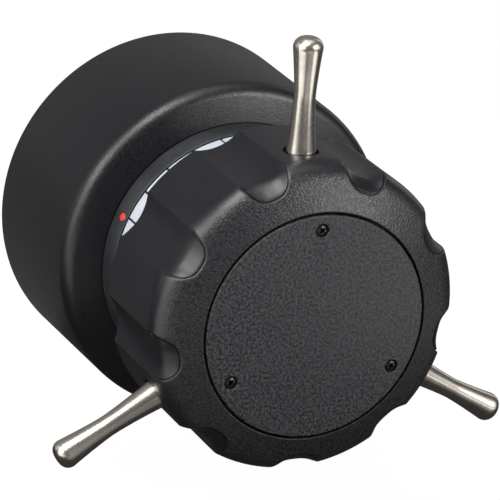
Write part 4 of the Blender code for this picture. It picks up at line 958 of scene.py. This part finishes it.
def makeSocket():
    place = standing(cover["socketCircle"], math.pi, socket["front"], -1)
    bore, sleeve, rim, tail = [socket[part] for part in ("bore", "sleeve", "flange", "tail")]
    length = socket["length"]
    flange = length - socket["flangeDepth"]
    end = length + socket["tailLength"]
    floor = flange + socket["floorSink"]
    top, bottom = floor - socket["inlayRise"], floor + 0.2
    inlayRadius = bore - socket["inlayGap"]
    inlay = lathe("socketInlay", [(0, top, 0), (inlayRadius, top, 0.2), (inlayRadius, bottom, 0),
                                  (0, bottom, 0)], 64, place, closed=False)
    settle(inlay, "housing", [darkPlastic], (), 32)
    for i, around in enumerate(evenAngles(socket["pins"])):
        middle = place(socket["pinCircle"], around, floor - socket["pinRise"])

        def pinPlace(radius, angle, along):
            return middle + Vector((radius * math.sin(angle), -along, radius * math.cos(angle))) * mm

        pin = lathe(f"socketPin{i + 1}", [(0, 0, 0), (socket["pinRadius"], 0.3, 0.25),
                                          (socket["pinRadius"], socket["pinLength"], 0),
                                          (0, socket["pinLength"], 0)], 20, pinPlace, closed=False)
        settle(pin, "housing", [brass], (), 32)
    shell = lathe("connectorSocket", [(0, floor, 0), (bore, floor, 0.2), (bore, 0, 0.3), (sleeve, 0, 0.5),
                                      (sleeve, flange, 0.3), (rim, flange, 0.3), (rim, length, 0.1),
                                      (tail, length, 0), (tail, end, 0.4), (0, end, 0)], 96, place,
                  closed=False)
    settle(shell, "housing", [bareAluminium], ("connector_socket",), 32)


makeHousing()
makeBackCover()
makeSocket()
print("housing, cover and socket made")


# Finishes of the pieces inside

inside = ((bareAluminium, "knob_hub bearing_housing chassis_plate"),
          (bareSteel, "main_shaft retaining_ring drag_spring drag_disc stop_pin stop_block gear_hub "
                      "sensor_shaft sensor_nut socket_nut shaft_screw hub_screw tube_screw chassis_post "
                      "board_post board_nut"),
          (blackSteel, "gear_clamp_screw"), (bronze, "front_bush rear_bush"),
          (brass, "main_gear sensor_pinion"), (fibre, "drag_pad"), (boardLacquer, "circuit_board"),
          (darkPlastic, "sensor_body processor_chip sensor_cable socket_cable"))
finishes = {family: finish for finish, families in inside for family in families.split()}

for name, item in nodes.items():
    family = name.rstrip("0123456789").rstrip("_")
    if family in finishes:
        item.data.materials.clear()
        item.data.materials.append(finishes[family])
print("inside pieces finished")


# Floor, lights and camera

stage = {"floorRadius": 6.0, "floorShade": (0.8, 0.8, 0.8, 1), "floorRough": 0.9, "floorGlow": 1.05,
         "glowShare": 0.9, "worldLight": 0.27, "worldShown": 1.0, "lampsAimAt": (0, -0.07, 0),
         "floorDrop": 0.002}


# 1 for rays that show the white surroundings themselves, seen, mirrored or through something
def shownRays(tree):
    path = addNode(tree, "LightPath")
    shown = path.outputs["Is Camera Ray"]
    for ray in ("Is Glossy Ray", "Is Transmission Ray"):
        shown = addNode(tree, "Math", {0: shown, 1: path.outputs[ray]}, operation="MAXIMUM").outputs[0]
    return shown


def makeFloor():
    work = bmesh.new()
    bmesh.ops.create_circle(work, cap_ends=True, segments=96, radius=stage["floorRadius"])
    floor = addObject("floor", plainMesh(work, "floor"))
    floor.location = (0, 0, stageFloor)
    material = bpy.data.materials.new("whiteStudioFloor")
    material.use_nodes = True
    tree = material.node_tree
    shader = tree.nodes["Principled BSDF"]
    shader.inputs["Base Color"].default_value = stage["floorShade"]
    shader.inputs["Roughness"].default_value = stage["floorRough"]
    share = addNode(tree, "Math", {0: shownRays(tree), 1: stage["glowShare"]}, operation="MULTIPLY")
    glow = addNode(tree, "Emission", {"Color": (1, 1, 1, 1), "Strength": stage["floorGlow"]})
    blend = addNode(tree, "MixShader", {0: share.outputs[0], 1: shader.outputs[0], 2: glow.outputs[0]})
    tree.links.new(blend.outputs[0], tree.nodes["Material Output"].inputs["Surface"])
    floor.data.materials.append(material)


def makeWorld():
    world = bpy.context.scene.world or bpy.data.worlds.new("studio")
    bpy.context.scene.world = world
    world.use_nodes = True
    tree = world.node_tree
    tree.nodes.clear()
    light, shown = [addNode(tree, "Background", {"Color": (1, 1, 1, 1), "Strength": stage[name]})
                    for name in ("worldLight", "worldShown")]
    blend = addNode(tree, "MixShader", {0: shownRays(tree), 1: light.outputs[0], 2: shown.outputs[0]})
    tree.links.new(blend.outputs[0], addNode(tree, "OutputWorld").inputs["Surface"])


def makeLamp(name, towards, distance, size, power):
    lamp = bpy.data.lights.new(name, "AREA")
    lamp.shape = "RECTANGLE"
    lamp.size, lamp.size_y = size
    lamp.energy = power
    item = addObject(name, lamp)
    direction = Vector(towards).normalized()
    item.location = Vector(stage["lampsAimAt"]) + direction * distance
    item.rotation_mode = "QUATERNION"
    item.rotation_quaternion = (-direction).to_track_quat("-Z", "Y")
    item.visible_camera = False


# Cards that only reflections see, as flags and reflectors stand round a glossy product
def makeCard(name, centre, facing, turned, size, brightness):
    work = bmesh.new()
    bmesh.ops.create_grid(work, x_segments=1, y_segments=1, size=0.5)
    card = addObject(name, plainMesh(work, name))
    card.location = centre
    card.rotation_mode = "QUATERNION"
    facing = Vector(facing).normalized()
    card.rotation_quaternion = Quaternion(facing, math.radians(turned)) @ facing.to_track_quat("Z", "Y")
    card.scale = (size[0], size[1], 1)
    for ray in ("camera", "diffuse", "shadow", "transmission"):
        setattr(card, "visible_" + ray, False)
    material = bpy.data.materials.new(name + "Cloth")
    material.use_nodes = True
    tree = material.node_tree
    glow = addNode(tree, "Emission", {"Color": (1, 1, 1, 1), "Strength": brightness})
    tree.links.new(glow.outputs[0], tree.nodes["Material Output"].inputs["Surface"])
    card.data.materials.append(material)


# The floor lies under the circle that the spokes sweep, so that none dips into it when the knob turns
stageFloor = -cadHigh.z - stage["floorDrop"]
makeFloor()
makeWorld()

# Each: direction from the object, distance and size in metres, and power
lamps = {"keyLeft": ((-0.83, -0.24, 0.48), 0.95, (0.60, 0.42), 6),
         "keyTop": ((-0.33, -0.25, 0.90), 0.95, (0.50, 0.50), 7.5),
         "frontRight": ((0.53, -0.75, 0.40), 1.10, (0.42, 0.38), 6.5),
         "topBack": ((0.10, 0.10, 0.98), 1.00, (0.70, 0.35), 1.2)}
for name, (towards, distance, size, power) in lamps.items():
    makeLamp(name, towards, distance, size, power)

# Each: centre, facing, size in metres and brightness
walls = {"backWall": ((0, 1.3, 0.35), (0, -1, 0), (3.4, 1.9), 0.26),
         "frontWall": ((0, -1.8, 0.98), (0, 1, 0), (3.6, 2.0), 0.15),
         "leftWall": ((-1.5, 0, 0.5), (1, 0, 0), (1.2, 3.2), 0.30),
         "rightWall": ((1.5, 0, 0.5), (-1, 0, 0), (1.2, 3.2), 0.12),
         "ceiling": ((0, 0, 1.7), (0, 0, -1), (3.6, 3.6), 0.30),
         "lowCloth": ((0, 0, stageFloor + 0.001), (0, 0, 1), (3.0, 3.6), 0.10),
         "leftReflector": ((-0.80, -0.24, 0.16), (0.96, 0.2, 0), (0.40, 0.40), 2.7),
         "rightReflector": ((0.52, -0.93, 0.12), (-0.5, 0.87, 0), (0.30, 0.30), 0.8)}
for name, (centre, facing, size, brightness) in walls.items():
    makeCard(name, centre, facing, 0, size, brightness)

# Each: place, height over the part's lowest point, turn, size and brightness
cloths = {"floorCloth": ((0, 0), 0.0003, 0, (3.0, 3.6), 0.05),
          "floorBack": ((-0.05, 0.45), 0.003, 0, (1.20, 0.90), 0.16),
          "floorNear": ((0.04, -0.20), 0.003, 0, (0.26, 0.12), 0.26),
          "floorFront": ((-0.03, -0.46), 0.003, 0, (0.26, 0.22), 0.90),
          "floorLeft": ((-0.40, -0.16), 0.006, -12, (0.56, 0.22), 1.9),
          "floorFrontRight": ((0.19, -0.36), 0.006, 25, (0.14, 0.40), 2.0)}
for name, ((x, y), rise, turned, size, brightness) in cloths.items():
    makeCard(name, (x, y, cadLow.z + rise), (0, 0, 1), turned, size, brightness)

# The camera that was fitted to the photograph
view = {"lens": 249.8, "sensor": 36.0, "place": (-0.4284, -1.0053, 0.3767),
        "forward": (0.3947, 0.8532, -0.3410), "right": (0.9151, -0.3984, 0.0624)}


def makeCamera():
    forward = Vector(view["forward"]).normalized()
    right = Vector(view["right"])
    right = (right - forward * right.dot(forward)).normalized()
    up = right.cross(forward)
    data = bpy.data.cameras.new("camera")
    data.lens = view["lens"]
    data.sensor_width = view["sensor"]
    data.dof.use_dof = False
    camera = addObject("camera", data)
    turn = Matrix((right, up, -forward)).transposed()
    camera.matrix_world = Matrix.Translation(view["place"]) @ turn.to_4x4()
    bpy.context.scene.camera = camera


makeCamera()
bpy.context.scene.view_settings.view_transform = "Standard"
print("stage made")
